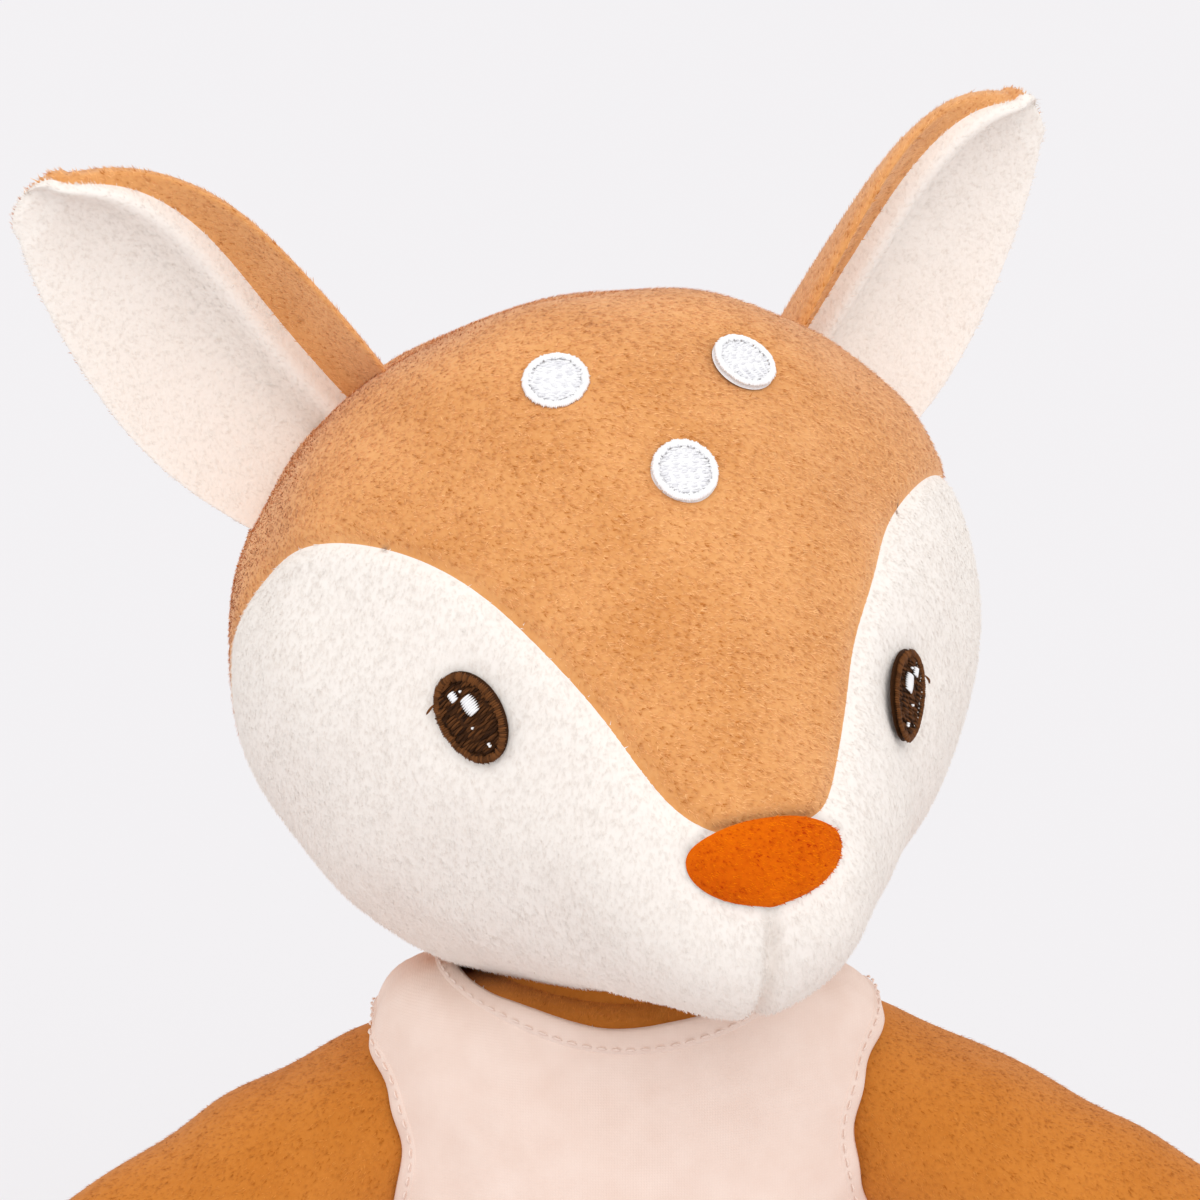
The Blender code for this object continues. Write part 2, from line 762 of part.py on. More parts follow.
def build_head(toy, cutters, cloth):
    """The head's panels, embroidery and stuffing, modelled in the head's own frame."""
    matrix = head_matrix()
    inside = (BODY_SIDES, COARSE)
    outer = head_form("head_outer_form", 0.0, HEAD_DETAIL, cutters, matrix)
    inner = head_form("head_inner_form", -PILE_CLOTH, inside, cutters, matrix)
    fill = head_form("head_fill_form", -PILE_CLOTH - SEAM_GAP, inside, cutters, matrix)
    nose_outer = head_form("nose_outer_form", NOSE_PLUMPNESS, HEAD_DETAIL, cutters, matrix)

    def in_head(cutter):
        cutter.matrix_world = matrix
        return cutter

    socket_centre = Vector((0.0, HEAD_PIVOT_SETBACK, -HEAD_PIVOT_DEPTH))
    socket_radius = NECK_BALL_RADIUS + SOCKET_GAP
    socket = in_head(
        ball("head_socket", socket_centre, socket_radius, cutters, HEAD_SOCKET_STEPS)
    )
    side = Vector((1.0, 0.0, 0.0))
    back = Vector((0.0, 1.0, 0.0))
    seam = [
        Vector((0.0, -forward * HEAD_LENGTH, up * HEAD_HALF_HEIGHT))
        for forward, up in CHEEK_SEAM_SHARES
    ]
    cheek_cut = in_head(prism("cheek_cut", seam, side, REACH, cutters))
    cheek_room = in_head(prism("cheek_room", grown(seam, SEAM_GAP), side, REACH, cutters))
    nose_centre = NOSE_CENTRE_HEIGHT_SHARE * HEAD_HALF_HEIGHT
    nose_back = NOSE_REACH_SHARE * HEAD_LENGTH
    nose_front = (1.0 - HEAD_BACK_SHARE) * HEAD_LENGTH + CUT_OVERRUN
    nose_middle = -(nose_back + nose_front) / 2
    nose_reach = (nose_front - nose_back) / 2
    half = [
        Vector((across * NOSE_HALF_WIDTH, nose_middle, nose_centre + up * NOSE_HALF_HEIGHT))
        for across, up in NOSE_OUTLINE_SHARES
    ]
    mirrored = [Vector((-point.x, point.y, point.z)) for point in half[1:-1]]
    nose_line = half + list(reversed(mirrored))
    nose_cut = in_head(prism("nose_cut", nose_line, back, nose_reach, cutters))
    nose_room = in_head(
        prism("nose_room", grown(nose_line, SEAM_GAP), back, nose_reach, cutters)
    )

    trims = {}
    for name, mirror in (("left", 1.0), ("right", -1.0), ("middle", 0.0)):
        if mirror:
            centre = place_on_head(SPOT_SIDE_PLACE_SHARES, mirror)
            normal = place_head_normal(SPOT_SIDE_NORMAL_SHARES, mirror)
        else:
            centre = place_on_head(SPOT_MIDDLE_PLACE_SHARES, 1.0)
            normal = place_head_normal(SPOT_MIDDLE_NORMAL_SHARES, 1.0)
        rim = oval(centre, normal, SPOT_RADIUS, SPOT_RADIUS, 0.0, 1.0)
        trims[f"spot_{name}"] = (rim, normal, "white_thread")
    for name, mirror in SIDES.items():
        normal = place_head_normal(EYE_NORMAL_SHARES, mirror)
        centre = place_on_head(EYE_PLACE_SHARES[name], mirror)
        rim = oval(centre, normal, EYE_HALF_LENGTH, EYE_HALF_WIDTH, EYE_SLANT, mirror)
        trims[f"eye_{name}"] = (rim, normal, "dark_thread")

    skin = shell("head_skin", outer, inner, cutters)
    skin.matrix_world = matrix
    boolean(skin, socket)
    hide_cutter(skin)
    pieces = []
    spot_rooms, eye_rooms = [], []
    for name, (rim, normal, thread) in trims.items():
        cut = in_head(prism(f"{name}_cut", rim, normal, EMBROIDERY_REACH, cutters))
        room_rim = grown(rim, SEAM_GAP)
        room = in_head(prism(f"{name}_room", room_rim, normal, EMBROIDERY_REACH, cutters))
        pieces.append(kept_part(skin, name, toy, cloth[thread], keep=[cut]))
        (spot_rooms if name.startswith("spot") else eye_rooms).append(room)

    back_seam = BACK_SEAM_SHARE * HEAD_LENGTH
    front = half_space("face_side", 1, -REACH, back_seam - SEAM_GAP / 2, cutters)
    rear = half_space("back_side", 1, back_seam + SEAM_GAP / 2, REACH, cutters)
    for slab in (front, rear):
        in_head(slab)
    pieces.append(
        kept_part(
            skin,
            "crown_panel",
            toy,
            cloth["brown"],
            keep=[front],
            remove=[cheek_room, nose_room] + spot_rooms,
        )
    )
    for name, mirror in SIDES.items():
        ends = sorted((mirror * SEAM_GAP / 2, mirror * REACH))
        flank = in_head(half_space(f"flank_{name}", 0, ends[0], ends[1], cutters))
        pieces.append(
            kept_part(
                skin,
                f"cheek_{name}",
                toy,
                cloth["cream"],
                keep=[cheek_cut, flank],
                remove=[nose_room] + eye_rooms,
            )
        )
        pieces.append(
            kept_part(skin, f"head_back_{name}", toy, cloth["brown"], keep=[rear, flank])
        )
    nose_shell = shell("nose_shell", nose_outer, inner, cutters)
    nose_shell.matrix_world = matrix
    hide_cutter(nose_shell)
    pieces.append(kept_part(nose_shell, "nose_patch", toy, cloth["nose"], keep=[nose_cut]))
    pieces.append(kept_part(fill, "head_stuffing", toy, cloth["fibre"], remove=[socket]))
    return pieces


def ear_frame(side):
    """The ear's own axes in the head: along it, across it, and the way its lining faces."""
    mirror = SIDES[side]
    along = place_head_normal(EAR_AXIS_SHARES, mirror)
    facing = place_head_normal(EAR_FACING_SHARES, mirror)
    facing = (facing - along * facing.dot(along)).normalized()
    across = facing.cross(along) * mirror
    root = place_on_head(EAR_ROOT_PLACE_SHARES, mirror)
    return root, along, across, facing


def ear_leaf(name, side, growth, thickness, collection):
    """A cupped leaf of cloth: an open cage, smoothed, then given its thickness."""
    root, along, across, facing = ear_frame(side)
    form = bmesh.new()
    rows = []
    for place, width in zip(EAR_LENGTH_SHARES, EAR_WIDTH_SHARES):
        row = []
        for across_share in EAR_ACROSS_SHARES:
            hollow = EAR_CUP * (1.0 - across_share**2) * (1.0 - place**2)
            curl = EAR_CURL * max(0.0, -across_share) ** 2 * (1.0 - place**2)
            point = root + along * place * EAR_LENGTH
            point += across * across_share * width * EAR_HALF_WIDTH
            point += facing * (curl - hollow + growth)
            row.append(form.verts.new(point))
        rows.append(row)
    for near, far in zip(rows, rows[1:]):
        for step in range(len(near) - 1):
            corners = (near[step], near[step + 1], far[step + 1], far[step])
            form.faces.new(corners)
    form.normal_update()
    if sum((face.normal for face in form.faces), Vector()).dot(facing) < 0.0:
        bmesh.ops.reverse_faces(form, faces=form.faces[:])
    mesh = bpy.data.meshes.new(name)
    form.to_mesh(mesh)
    form.free()
    leaf = add_piece(name, mesh, collection)
    smooth = leaf.modifiers.new("Smooth", "SUBSURF")
    smooth.levels = COARSE
    smooth.render_levels = COARSE
    thick = leaf.modifiers.new("Cloth", "SOLIDIFY")
    thick.thickness = abs(thickness)
    thick.offset = math.copysign(1.0, thickness)
    apply_modifiers(leaf)
    return face_outward(leaf)


def build_ears(toy, cutters, cloth):
    """Each ear is a brown back and a cream lining, trimmed to swing clear of the head."""
    matrix = head_matrix()
    head = head_form("ear_clearance_form", SWING_GAP, HEAD_DETAIL, cutters, matrix)
    layers = (
        ("ear_back", -SEAM_GAP, -EAR_CLOTH, "brown"),
        ("ear_lining", SEAM_GAP, EAR_CLOTH, "cream"),
    )
    pieces = {}
    for side in SIDES:
        root, _, across, _ = ear_frame(side)
        pieces[side] = []
        for label, growth, thickness, colour in layers:
            leaf = ear_leaf(f"{label}_{side}_leaf", side, growth, thickness, cutters)
            leaf.matrix_world = matrix
            hide_cutter(leaf)
            swings = []
            for angle in (-EAR_SWING, 0.0, EAR_SWING):
                swing = copy_piece(head, f"{label}_{side}_clear", cutters)
                turn = Matrix.Rotation(angle, 4, across)
                about = Matrix.Translation(root) @ turn @ Matrix.Translation(-root)
                swing.matrix_world = matrix @ about
                swings.append(hide_cutter(swing))
            ear = kept_part(leaf, f"{label}_{side}", toy, cloth[colour], remove=swings)
            pieces[side].append(ear)
    return pieces


def trim_for_swing(limb, seat, growth, swing, cutters):
    """Cut from a limb what would meet the clothed body at either end of its swing.

    What the limb has inside the ball round its pivot turns in its own opening and stays.
    """
    pivot, radius = seat
    hinge, angles = swing
    body_growth = ROMPER_EASE + ROMPER_CLOTH + SWING_GAP - growth
    rise = seat_rise(cutters)
    body = torso_form(f"{limb.name}_body", body_growth, BODY_SIDES, rise, cutters)
    room = ball(f"{limb.name}_room", pivot, radius + growth, cutters, ROOT_BALL_STEPS)
    boolean(body, room)
    for angle in angles:
        turn = Matrix.Rotation(-angle, 4, hinge)
        about = Matrix.Translation(pivot) @ turn @ Matrix.Translation(-pivot)
        passed = copy_piece(body, f"{limb.name}_passed", cutters, matrix=about)
        boolean(limb, hide_cutter(passed), "DIFFERENCE", "MANIFOLD")


def build_limb(kind, side, toy, cutters, cloth):
    """A limb's plush tube, its hoof cap and the stuffing inside both."""
    if kind == "arm":
        shares, length, radius = ARM_RING_SHARES, ARM_LENGTH, ARM_ROOT_RADIUS
        pivot, direction = shoulder(side), arm_direction(side)
        swing = (Vector((0.0, -SIDES[side], 0.0)), (-ARM_LOWER, ARM_RAISE))
        hoof_start = ARM_HOOF_START_SHARE * length
    else:
        shares, length, radius = LEG_RING_SHARES, LEG_LENGTH, LEG_ROOT_RADIUS
        pivot, direction = hip(side), leg_direction(side)
        swing = (Vector((-1.0, 0.0, 0.0)), (-LEG_LOWER, LEG_RAISE))
        hoof_start = LEG_HOOF_START_SHARE * length
    label = f"{kind}_{side}"
    matrix = frame_along(pivot, direction)
    forms = []
    for part, growth, sides in (
        ("outer", 0.0, LIMB_SIDES),
        ("inner", -PILE_CLOTH, STUFFING_SIDES),
        ("fill", -PILE_CLOTH - SEAM_GAP, STUFFING_SIDES),
    ):
        form = limb_form(
            f"{label}_{part}_form", shares, length, radius, growth, sides, cutters, matrix
        )
        trim_for_swing(form, (pivot, radius), growth, swing, cutters)
        forms.append(form)
    outer, inner, fill = forms
    tube = shell(f"{label}_tube", outer, inner, cutters)
    tube.matrix_world = matrix
    hide_cutter(tube)
    upper = half_space(f"{label}_upper", 0, -LIMB_MOUTH, hoof_start - SEAM_GAP / 2, cutters)
    lower = half_space(f"{label}_lower", 0, hoof_start + SEAM_GAP / 2, REACH, cutters)
    upper.matrix_world = matrix
    lower.matrix_world = matrix
    return [
        kept_part(tube, f"{kind}_cover_{side}", toy, cloth["brown"], keep=[upper]),
        kept_part(tube, f"{kind}_hoof_{side}", toy, cloth["cream"], keep=[lower]),
        kept_part(fill, f"{kind}_stuffing_{side}", toy, cloth["fibre"]),
    ]


def build_tail(toy, cutters, cloth):
    """A small leaf in two layers, standing up and back from its hole in the romper."""
    direction = Vector((0.0, math.cos(TAIL_RISE), math.sin(TAIL_RISE)))
    matrix = frame_along(tail_root(), direction)
    rings = []
    for place, width, height in TAIL_RING_SHARES:
        centre = Vector((TAIL_ROOT_CLEARANCE + place * TAIL_LENGTH, 0.0, 0.0))
        across = Vector((0.0, width * TAIL_HALF_WIDTH, 0.0))
        up = Vector((0.0, 0.0, height * TAIL_HALF_THICKNESS))
        rings.append((centre, across, up))
    form = hide_cutter(ring_form("tail_form", rings, STUFFING_SIDES, COARSE, cutters))
    form.matrix_world = matrix
    pieces = []
    halves = (
        ("tail_top", SEAM_GAP / 2, REACH, "brown"),
        ("tail_underside", -REACH, -SEAM_GAP / 2, "cream"),
    )
    for name, low, high, colour in halves:
        layer = half_space(f"{name}_layer", 2, low, high, cutters)
        layer.matrix_world = matrix
        pieces.append(kept_part(form, name, toy, cloth[colour], keep=[layer]))
    return pieces


def build_toy():
    """Build every piece, then hang the moving ones on their joints."""
    clear_scene()
    toy = new_collection("plush_fawn")
    cutters = new_collection("cutters")
    cloth = {
        "brown": new_material("caramel_plush", (0.56, 0.25, 0.09), 0.95),
        "cream": new_material("cream_plush", (0.91, 0.87, 0.81), 0.95),
        "nose": new_material("nose_plush", (0.62, 0.13, 0.01), 0.90),
        "romper": new_material("romper_cotton", (0.86, 0.71, 0.61), 0.90),
        "white_thread": new_material("white_thread", (0.86, 0.85, 0.86), 0.45),
        "dark_thread": new_material("dark_thread", (0.06, 0.02, 0.01), 0.45),
        "fibre": new_material("stuffing_fibre", (0.88, 0.88, 0.86), 0.90),
        "bag": new_material("pellet_bag_cloth", (0.80, 0.79, 0.75), 0.90),
        "button": new_material("button_resin", (0.80, 0.70, 0.62), 0.35),
    }
    build_torso(toy, cutters, cloth)
    neck = build_neck(toy, cutters, cloth)
    head = build_head(toy, cutters, cloth)
    ears = build_ears(toy, cutters, cloth)
    tail = build_tail(toy, cutters, cloth)

    neck_joint = joint_empty("neck_joint", NECK_PIVOT, toy)
    head_joint = joint_empty("head_joint", NECK_PIVOT, toy)
    carry(neck_joint, neck)
    carry(head_joint, head, parent=neck_joint)
    for side in SIDES:
        root = head_matrix() @ ear_frame(side)[0]
        carry(joint_empty(f"ear_joint_{side}", root, toy), ears[side], parent=head_joint)
        arm = build_limb("arm", side, toy, cutters, cloth)
        carry(joint_empty(f"arm_joint_{side}", shoulder(side), toy), arm)
        leg = build_limb("leg", side, toy, cutters, cloth)
        carry(joint_empty(f"leg_joint_{side}", hip(side), toy), leg)
    carry(joint_empty("tail_joint", tail_root(), toy), tail)
    bpy.context.view_layer.update()


build_toy()
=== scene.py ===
"""The plush fawn's looks around its CAD frame: plush, embroidery, romper, stage and camera.

Metres, +Z up. The toy sits on Z = 0 and looks along -Y, so its own left side is +X.
"""

import bpy
import numpy as np
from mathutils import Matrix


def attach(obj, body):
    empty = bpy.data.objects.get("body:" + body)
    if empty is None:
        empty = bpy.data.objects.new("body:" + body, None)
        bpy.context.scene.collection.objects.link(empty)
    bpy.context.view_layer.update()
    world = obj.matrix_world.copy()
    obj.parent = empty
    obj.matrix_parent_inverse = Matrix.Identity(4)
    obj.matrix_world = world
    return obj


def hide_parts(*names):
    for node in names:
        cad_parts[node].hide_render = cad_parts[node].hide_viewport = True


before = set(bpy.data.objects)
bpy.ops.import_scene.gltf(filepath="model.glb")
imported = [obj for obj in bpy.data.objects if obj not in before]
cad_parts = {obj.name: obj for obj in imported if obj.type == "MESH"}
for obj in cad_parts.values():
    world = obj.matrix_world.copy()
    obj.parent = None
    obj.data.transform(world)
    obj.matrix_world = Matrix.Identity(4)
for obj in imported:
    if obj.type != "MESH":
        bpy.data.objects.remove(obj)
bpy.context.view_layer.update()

# Torso: the sewn body under the romper, in short-pile knitted plush, filled firm with fibre
# and seen only as a brown edge inside the neckline. A loft through rings, lumpy as stuffing is.
PILE_CLOTH = 0.0018
SEAM_GAP = 0.0003
ROMPER_EASE = 0.0007
ROMPER_CLOTH = 0.0009
SEAT_FLAT_DEPTH = 0.0005
TORSO_STEP = 0.0012
LINING_STEP = 0.0022
TORSO_HEIGHT = 0.1235
TORSO_HALF_WIDTH = 0.0435
TORSO_HALF_DEPTH = 0.0365
TORSO_RING_SHARES = (
    (0.00, 0.66, 0.66, 0.00),
    (0.06, 0.92, 0.92, 0.02),
    (0.25, 1.02, 1.02, 0.04),
    (0.50, 0.91, 0.89, 0.02),
    (0.76, 0.74, 0.72, 0.00),
    (0.94, 0.80, 0.67, -0.03),
    (1.00, 0.66, 0.48, -0.08),
)
UPRIGHT = ((0, 0, 1), (1, 0, 0), (0, 1, 0))
LUMP_SIZE = 0.022
LUMP_DEPTH = 0.0004
# Painted shade: the caramel plush made darker and more saturated, for the parts that sit in
# shade or are seen against the pile.
SHADED_BROWN = ((0.46, 0.130, 0.008), (0.70, 0.260, 0.045))
FIBRE = ((0.78, 0.78, 0.76), (0.95, 0.95, 0.94))
CLOUDS = {"Scale": 90, "Detail": 3}
CLOUD_SHARE = 0.55
GRAIN = {"Scale": 1400, "Detail": 2}
GRAIN_SHARE = 0.35
SHOWN_TONES = (0.25, 1.15)
CLOTH_SPECULAR = 0.08
CLOTH_SHEEN_ROUGHNESS = 0.6
BUMP_HEIGHT = 0.0003
PLUSH_ROUGHNESS = 0.95
BROWN_TONE = 0.3
FIBRE_TONE = 0.5
FIBRE_FILL = 0.8
WAVES = 24
WAVE_RATE_SHARES = (0.7, 1.4)
SPLINE_POINTS = 600
TINY = 1e-12


def spline(control, places):
    """A uniform cubic B-spline. At place i + f the four rows from i weigh (1-f)^3 / 6,
    (3f^3 - 6f^2 + 4) / 6, (-3f^3 + 3f^2 + 3f + 1) / 6 and f^3 / 6."""
    first = np.clip(places.astype(int), 0, len(control) - 4)
    f = (places - first)[:, None]
    return (
        control[first] * (1 - f) ** 3
        + control[first + 1] * (3 * f**3 - 6 * f**2 + 4)
        + control[first + 2] * (-3 * f**3 + 3 * f**2 + 3 * f + 1)
        + control[first + 3] * f**3
    ) / 6


def even_rows(rings, step):
    """Rows (along, lift, half width, half height) of a closed form through control rings.

    A pole of no size stands on each end ring, and beyond it the end ring turned inside out,
    so that the spline closes round. The rows are an even step apart along the form's side.
    """
    rings = np.array(rings, dtype=float)
    pole = np.array((1, 1, 0, 0))
    beyond = np.array((1, 1, -1, -1))
    ends = rings[0] * beyond, rings[0] * pole, rings, rings[-1] * pole, rings[-1] * beyond
    control = np.vstack(ends)
    fine = spline(control, np.linspace(0, len(control) - 3, SPLINE_POINTS))
    moved = np.hypot(np.diff(fine[:, 0]), np.diff(fine[:, 2:].mean(axis=1)))
    travelled = np.concatenate(([0], np.cumsum(moved)))
    even = np.linspace(0, travelled[-1], round(travelled[-1] / step) + 1)
    return np.stack([np.interp(even, travelled, column) for column in fine.T], axis=1)


def round_form(rows, step, axes, origin):
    """Points (row, turn, xyz): along + width sin(a) + (lift + height cos(a)), in given axes."""
    turns = round(2 * np.pi * rows[:, 2:].max() / step)
    angle = 2 * np.pi * np.arange(turns) / turns
    local = np.stack(
        (
            rows[:, :1] + 0 * angle,
            rows[:, 2:3] * np.sin(angle),
            rows[:, 1:2] + rows[:, 3:4] * np.cos(angle),
        ),
        axis=-1,
    )
    return local @ np.array(axes, dtype=float) + np.array(origin)


def grid_triangles(index):
    """Two triangles per cell of a (row, turn) grid of point numbers that closes round each row.

    A triangle that has one point twice is left out.
    """
    after = np.roll(index, -1, axis=1)
    lower = np.stack((index[:-1], after[:-1], after[1:]), axis=-1).reshape(-1, 3)
    upper = np.stack((index[:-1], after[1:], index[1:]), axis=-1).reshape(-1, 3)
    both = np.concatenate((lower, upper))
    return both[(both != np.roll(both, 1, axis=1)).all(axis=1)]


def closed_triangles(rows, turns):
    """Triangles of a closed (row, turn) grid, numbered row by row, with a pole at each end.

    Every point of the first and last row stands for its pole.
    """
    index = np.arange(rows * turns).reshape(rows, turns)
    index[0] = 0
    index[-1] = (rows - 1) * turns
    return grid_triangles(index)


def facing_out(places, triangles):
    """The same triangles, turned so that the body they close has a positive volume."""
    a, b, c = (places[triangles[:, corner]] for corner in range(3))
    volume = np.einsum("ij,ij->i", a - places.mean(axis=0), np.cross(b, c)).sum()
    return triangles if volume > 0 else triangles[:, ::-1]


def point_normals(places, triangles):
    """The unit sum of the area vectors (b - a) x (c - a) / 2 of the faces round each point."""
    a, b, c = (places[triangles[:, corner]] for corner in range(3))
    area = np.cross(b - a, c - a)
    normals = np.zeros_like(places)
    for corner in range(3):
        np.add.at(normals, triangles[:, corner], area)
    return normals / np.maximum(np.linalg.norm(normals, axis=1, keepdims=True), TINY)


def waves(places, size, seed):
    """A smooth random field of about -1..1: the sum of sines of plane waves a size long."""
    random = np.random.default_rng(seed)
    heading = random.normal(size=(WAVES, 3))
    heading /= np.linalg.norm(heading, axis=1, keepdims=True)
    heading *= random.uniform(*WAVE_RATE_SHARES, (WAVES, 1)) * 2 * np.pi / size
    phase = random.uniform(0, 2 * np.pi, WAVES)
    return np.sin(places @ heading.T + phase).sum(axis=1) / np.sqrt(WAVES)


def add_mesh(name, places, triangles, material, tones=None):
    """One object at the origin with the triangles' own points, smooth, with a tone if given."""
    used, triangles = np.unique(triangles, return_inverse=True)
    mesh = bpy.data.meshes.new(name)
    mesh.from_pydata(places[used], [], triangles.reshape(-1, 3))
    mesh.update()
    mesh.shade_smooth()
    if tones is not None:
        tone = mesh.attributes.new("tone", "FLOAT", "POINT")
        tone.data.foreach_set("value", tones[used].astype(np.float32))
    piece = bpy.data.objects.new(name, mesh)
    bpy.context.scene.collection.objects.link(piece)
    mesh.materials.append(material)
    return piece


def soft_piece(name, places, triangles, material, tone, fill, body, *nodes):
    """A piece of one tone, which rides with a body in place of its CAD nodes."""
    piece = add_mesh(name, places, triangles, material, np.full(len(places), tone))
    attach(piece, body)
    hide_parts(*nodes)


def new_group(name):
    """An empty shader group with two colours going in, and a colour and a height coming out."""
    group = bpy.data.node_groups.new(name, "ShaderNodeTree")
    for socket, way, kind in (
        ("Deep", "INPUT", "NodeSocketColor"),
        ("Light", "INPUT", "NodeSocketColor"),
        ("Colour", "OUTPUT", "NodeSocketColor"),
        ("Height", "OUTPUT", "NodeSocketFloat"),
    ):
        group.interface.new_socket(socket, in_out=way, socket_type=kind)
    return group


def texture(group, kind, settings):
    """A texture over the object's own coordinates."""
    place = group.nodes.new("ShaderNodeTexCoord")
    node = group.nodes.new(kind)
    for socket, value in settings.items():
        node.inputs[socket].default_value = value
    group.links.new(place.outputs["Object"], node.inputs["Vector"])
    return node


def stored_tone(group):
    """The tone that each point of a mesh carries."""
    node = group.nodes.new("ShaderNodeAttribute")
    node.attribute_name = "tone"
    return node.outputs["Fac"]


def weighted(group, value, weight, added):
    """A value times its weight, plus another."""
    node = group.nodes.new("ShaderNodeMath")
    node.operation = "MULTIPLY_ADD"
    node.inputs[1].default_value = weight
    group.links.new(value, node.inputs[0])
    group.links.new(added, node.inputs[2])
    return node.outputs[0]


def finish_group(group, shade, height):
    """The group's colour is mixed from deep to light by the shade, and its height passed on."""
    given = group.nodes.new("NodeGroupInput")
    result = group.nodes.new("NodeGroupOutput")
    mix = group.nodes.new("ShaderNodeMix")
    mix.data_type = "RGBA"
    group.links.new(shade, mix.inputs["Factor"])
    group.links.new(given.outputs["Deep"], mix.inputs["A"])
    group.links.new(given.outputs["Light"], mix.inputs["B"])
    group.links.new(mix.outputs["Result"], result.inputs["Colour"])
    group.links.new(height, result.inputs["Height"])
    return group


def pile_group():
    """Pile colour: painted shade, deep at the roots and in the gaps and light at the tips,
    clouded by handling.
    """
    group = new_group("pile_colour")
    cloud = texture(group, "ShaderNodeTexNoise", CLOUDS)
    grain = texture(group, "ShaderNodeTexNoise", GRAIN)
    clouded = weighted(group, cloud.outputs["Fac"], CLOUD_SHARE, stored_tone(group))
    grained = weighted(group, grain.outputs["Fac"], GRAIN_SHARE, clouded)
    spread = group.nodes.new("ShaderNodeMapRange")
    for socket, value in zip(("From Min", "From Max"), SHOWN_TONES):
        spread.inputs[socket].default_value = value
    group.links.new(grained, spread.inputs["Value"])
    return finish_group(group, spread.outputs["Result"], grain.outputs["Fac"])


PILE_GROUP = pile_group()


def cloth_material(name, group, colours, roughness, bump, sheen=0.0):
    """Cloth or thread: a colour group between two colours, its height as a bump."""
    material = bpy.data.materials.new(name)
    material.use_nodes = True
    tree = material.node_tree
    shader = tree.nodes["Principled BSDF"]
    shader.inputs["Roughness"].default_value = roughness
    shader.inputs["Specular IOR Level"].default_value = CLOTH_SPECULAR
    shader.inputs["Sheen Weight"].default_value = sheen
    shader.inputs["Sheen Roughness"].default_value = CLOTH_SHEEN_ROUGHNESS
    look = tree.nodes.new("ShaderNodeGroup")
    look.node_tree = group
    for socket, colour in zip(("Deep", "Light"), colours):
        look.inputs[socket].default_value = (*colour, 1)
    relief = tree.nodes.new("ShaderNodeBump")
    relief.inputs["Strength"].default_value = bump
    relief.inputs["Distance"].default_value = BUMP_HEIGHT
    tree.links.new(look.outputs["Colour"], shader.inputs["Base Color"])
    tree.links.new(look.outputs["Height"], relief.inputs["Height"])
    tree.links.new(relief.outputs["Normal"], shader.inputs["Normal"])
    return material


# The shaded copy of the caramel plush: painted shade.
shaded_plush = cloth_material(
    "caramel_plush_shaded", PILE_GROUP, SHADED_BROWN, PLUSH_ROUGHNESS, bump=0.5, sheen=0.1,
)
fibre = cloth_material("stuffing_fibre", PILE_GROUP, FIBRE, PLUSH_ROUGHNESS, bump=0.8)


def torso_rings(growth, top_share=1.0):
    """The torso's rings, grown by a cloth's distance and lifted onto the seat."""
    rise = ROMPER_EASE + ROMPER_CLOTH - SEAT_FLAT_DEPTH
    shares = np.array([ring for ring in TORSO_RING_SHARES if ring[0] <= top_share])
    rings = np.stack(
        (
            shares[:, 0] * TORSO_HEIGHT + rise,
            shares[:, 3] * TORSO_HALF_DEPTH,
            shares[:, 1] * TORSO_HALF_WIDTH + growth,
            shares[:, 2] * TORSO_HALF_DEPTH + growth,
        ),
        axis=1,
    )
    rings[0, 0] -= growth
    rings[-1, 0] += growth
    return rings


def stuffed(name, rings, step, axes, origin, material, tone, body, *nodes):
    """A closed piece through rings, softly lumpy, riding with a body for CAD nodes."""
    points = round_form(even_rows(rings, step), step, axes, origin)
    triangles = closed_triangles(*points.shape[:2])
    places = points.reshape(-1, 3)
    triangles = facing_out(places, triangles)
    lumps = waves(places, LUMP_SIZE, 1)[:, None] * LUMP_DEPTH
    places = places + point_normals(places, triangles) * lumps
    places[:, 2] = np.maximum(places[:, 2], 0)
    soft_piece(name, places, triangles, material, tone, FIBRE_FILL, body, *nodes)
    return places, triangles


# The torso's plush is the shaded copy of the caramel plush: painted shade.
torso = stuffed(
    "torso_plush", torso_rings(0.0), TORSO_STEP, UPRIGHT, (0, 0, 0), shaded_plush, BROWN_TONE,
    "torso", "torso_cover",
)
fill_growth = -PILE_CLOTH - SEAM_GAP
stuffed(
    "torso_fill", torso_rings(fill_growth)[2:], LINING_STEP, UPRIGHT, (0, 0, 0), fibre,
    FIBRE_TONE, "torso", "torso_stuffing",
)

# Pellet bag: a small sewn cloth bag of plastic pellets. It lies low in the body under the fibre,
# which holds it there, and its weight keeps the toy sitting.
BAG_INSET = 0.00315
BAG_TOP_SHARE = 0.25
BAG_TONE = 0.2
bag_cloth = cloth_material("pellet_bag_cloth", PILE_GROUP, FIBRE, roughness=0.9, bump=1.0)
stuffed(
    "pellet_bag", torso_rings(-BAG_INSET, BAG_TOP_SHARE), LINING_STEP, UPRIGHT, (0, 0, 0),
    bag_cloth, BAG_TONE, "torso", "seat_pellet_bag",
)

# Neck: a short tube of the same plush, stuffed firm with fibre and sewn into the shoulders. Its
# round top carries the head, which rolls on it.
SKIN_STEP = 0.0008
NECK_TOP = 0.1220
NECK_RADIUS = 0.0202
NECK_RING_SHARES = ((-0.7, 0.93), (-0.3, 0.96), (0.3, 1.0), (0.85, 0.72), (1.0, 0.35))
NECK_TONE = 0.2
# The neck's plush is the shaded copy of the caramel plush: painted shade.
for name, growth, step, material, node in (
    ("neck_plush", 0.0, SKIN_STEP, shaded_plush, "neck_cover"),
    ("neck_fill", fill_growth, LINING_STEP, fibre, "neck_stuffing"),
):
    place, width = np.array(NECK_RING_SHARES).T
    height = NECK_TOP + place * (NECK_RADIUS + growth)
    width = width * NECK_RADIUS + growth
    rings = np.stack((height, 0 * height, width, width), axis=1)
    stuffed(name, rings, step, UPRIGHT, (0, 0, 0), material, NECK_TONE, "neck", node)

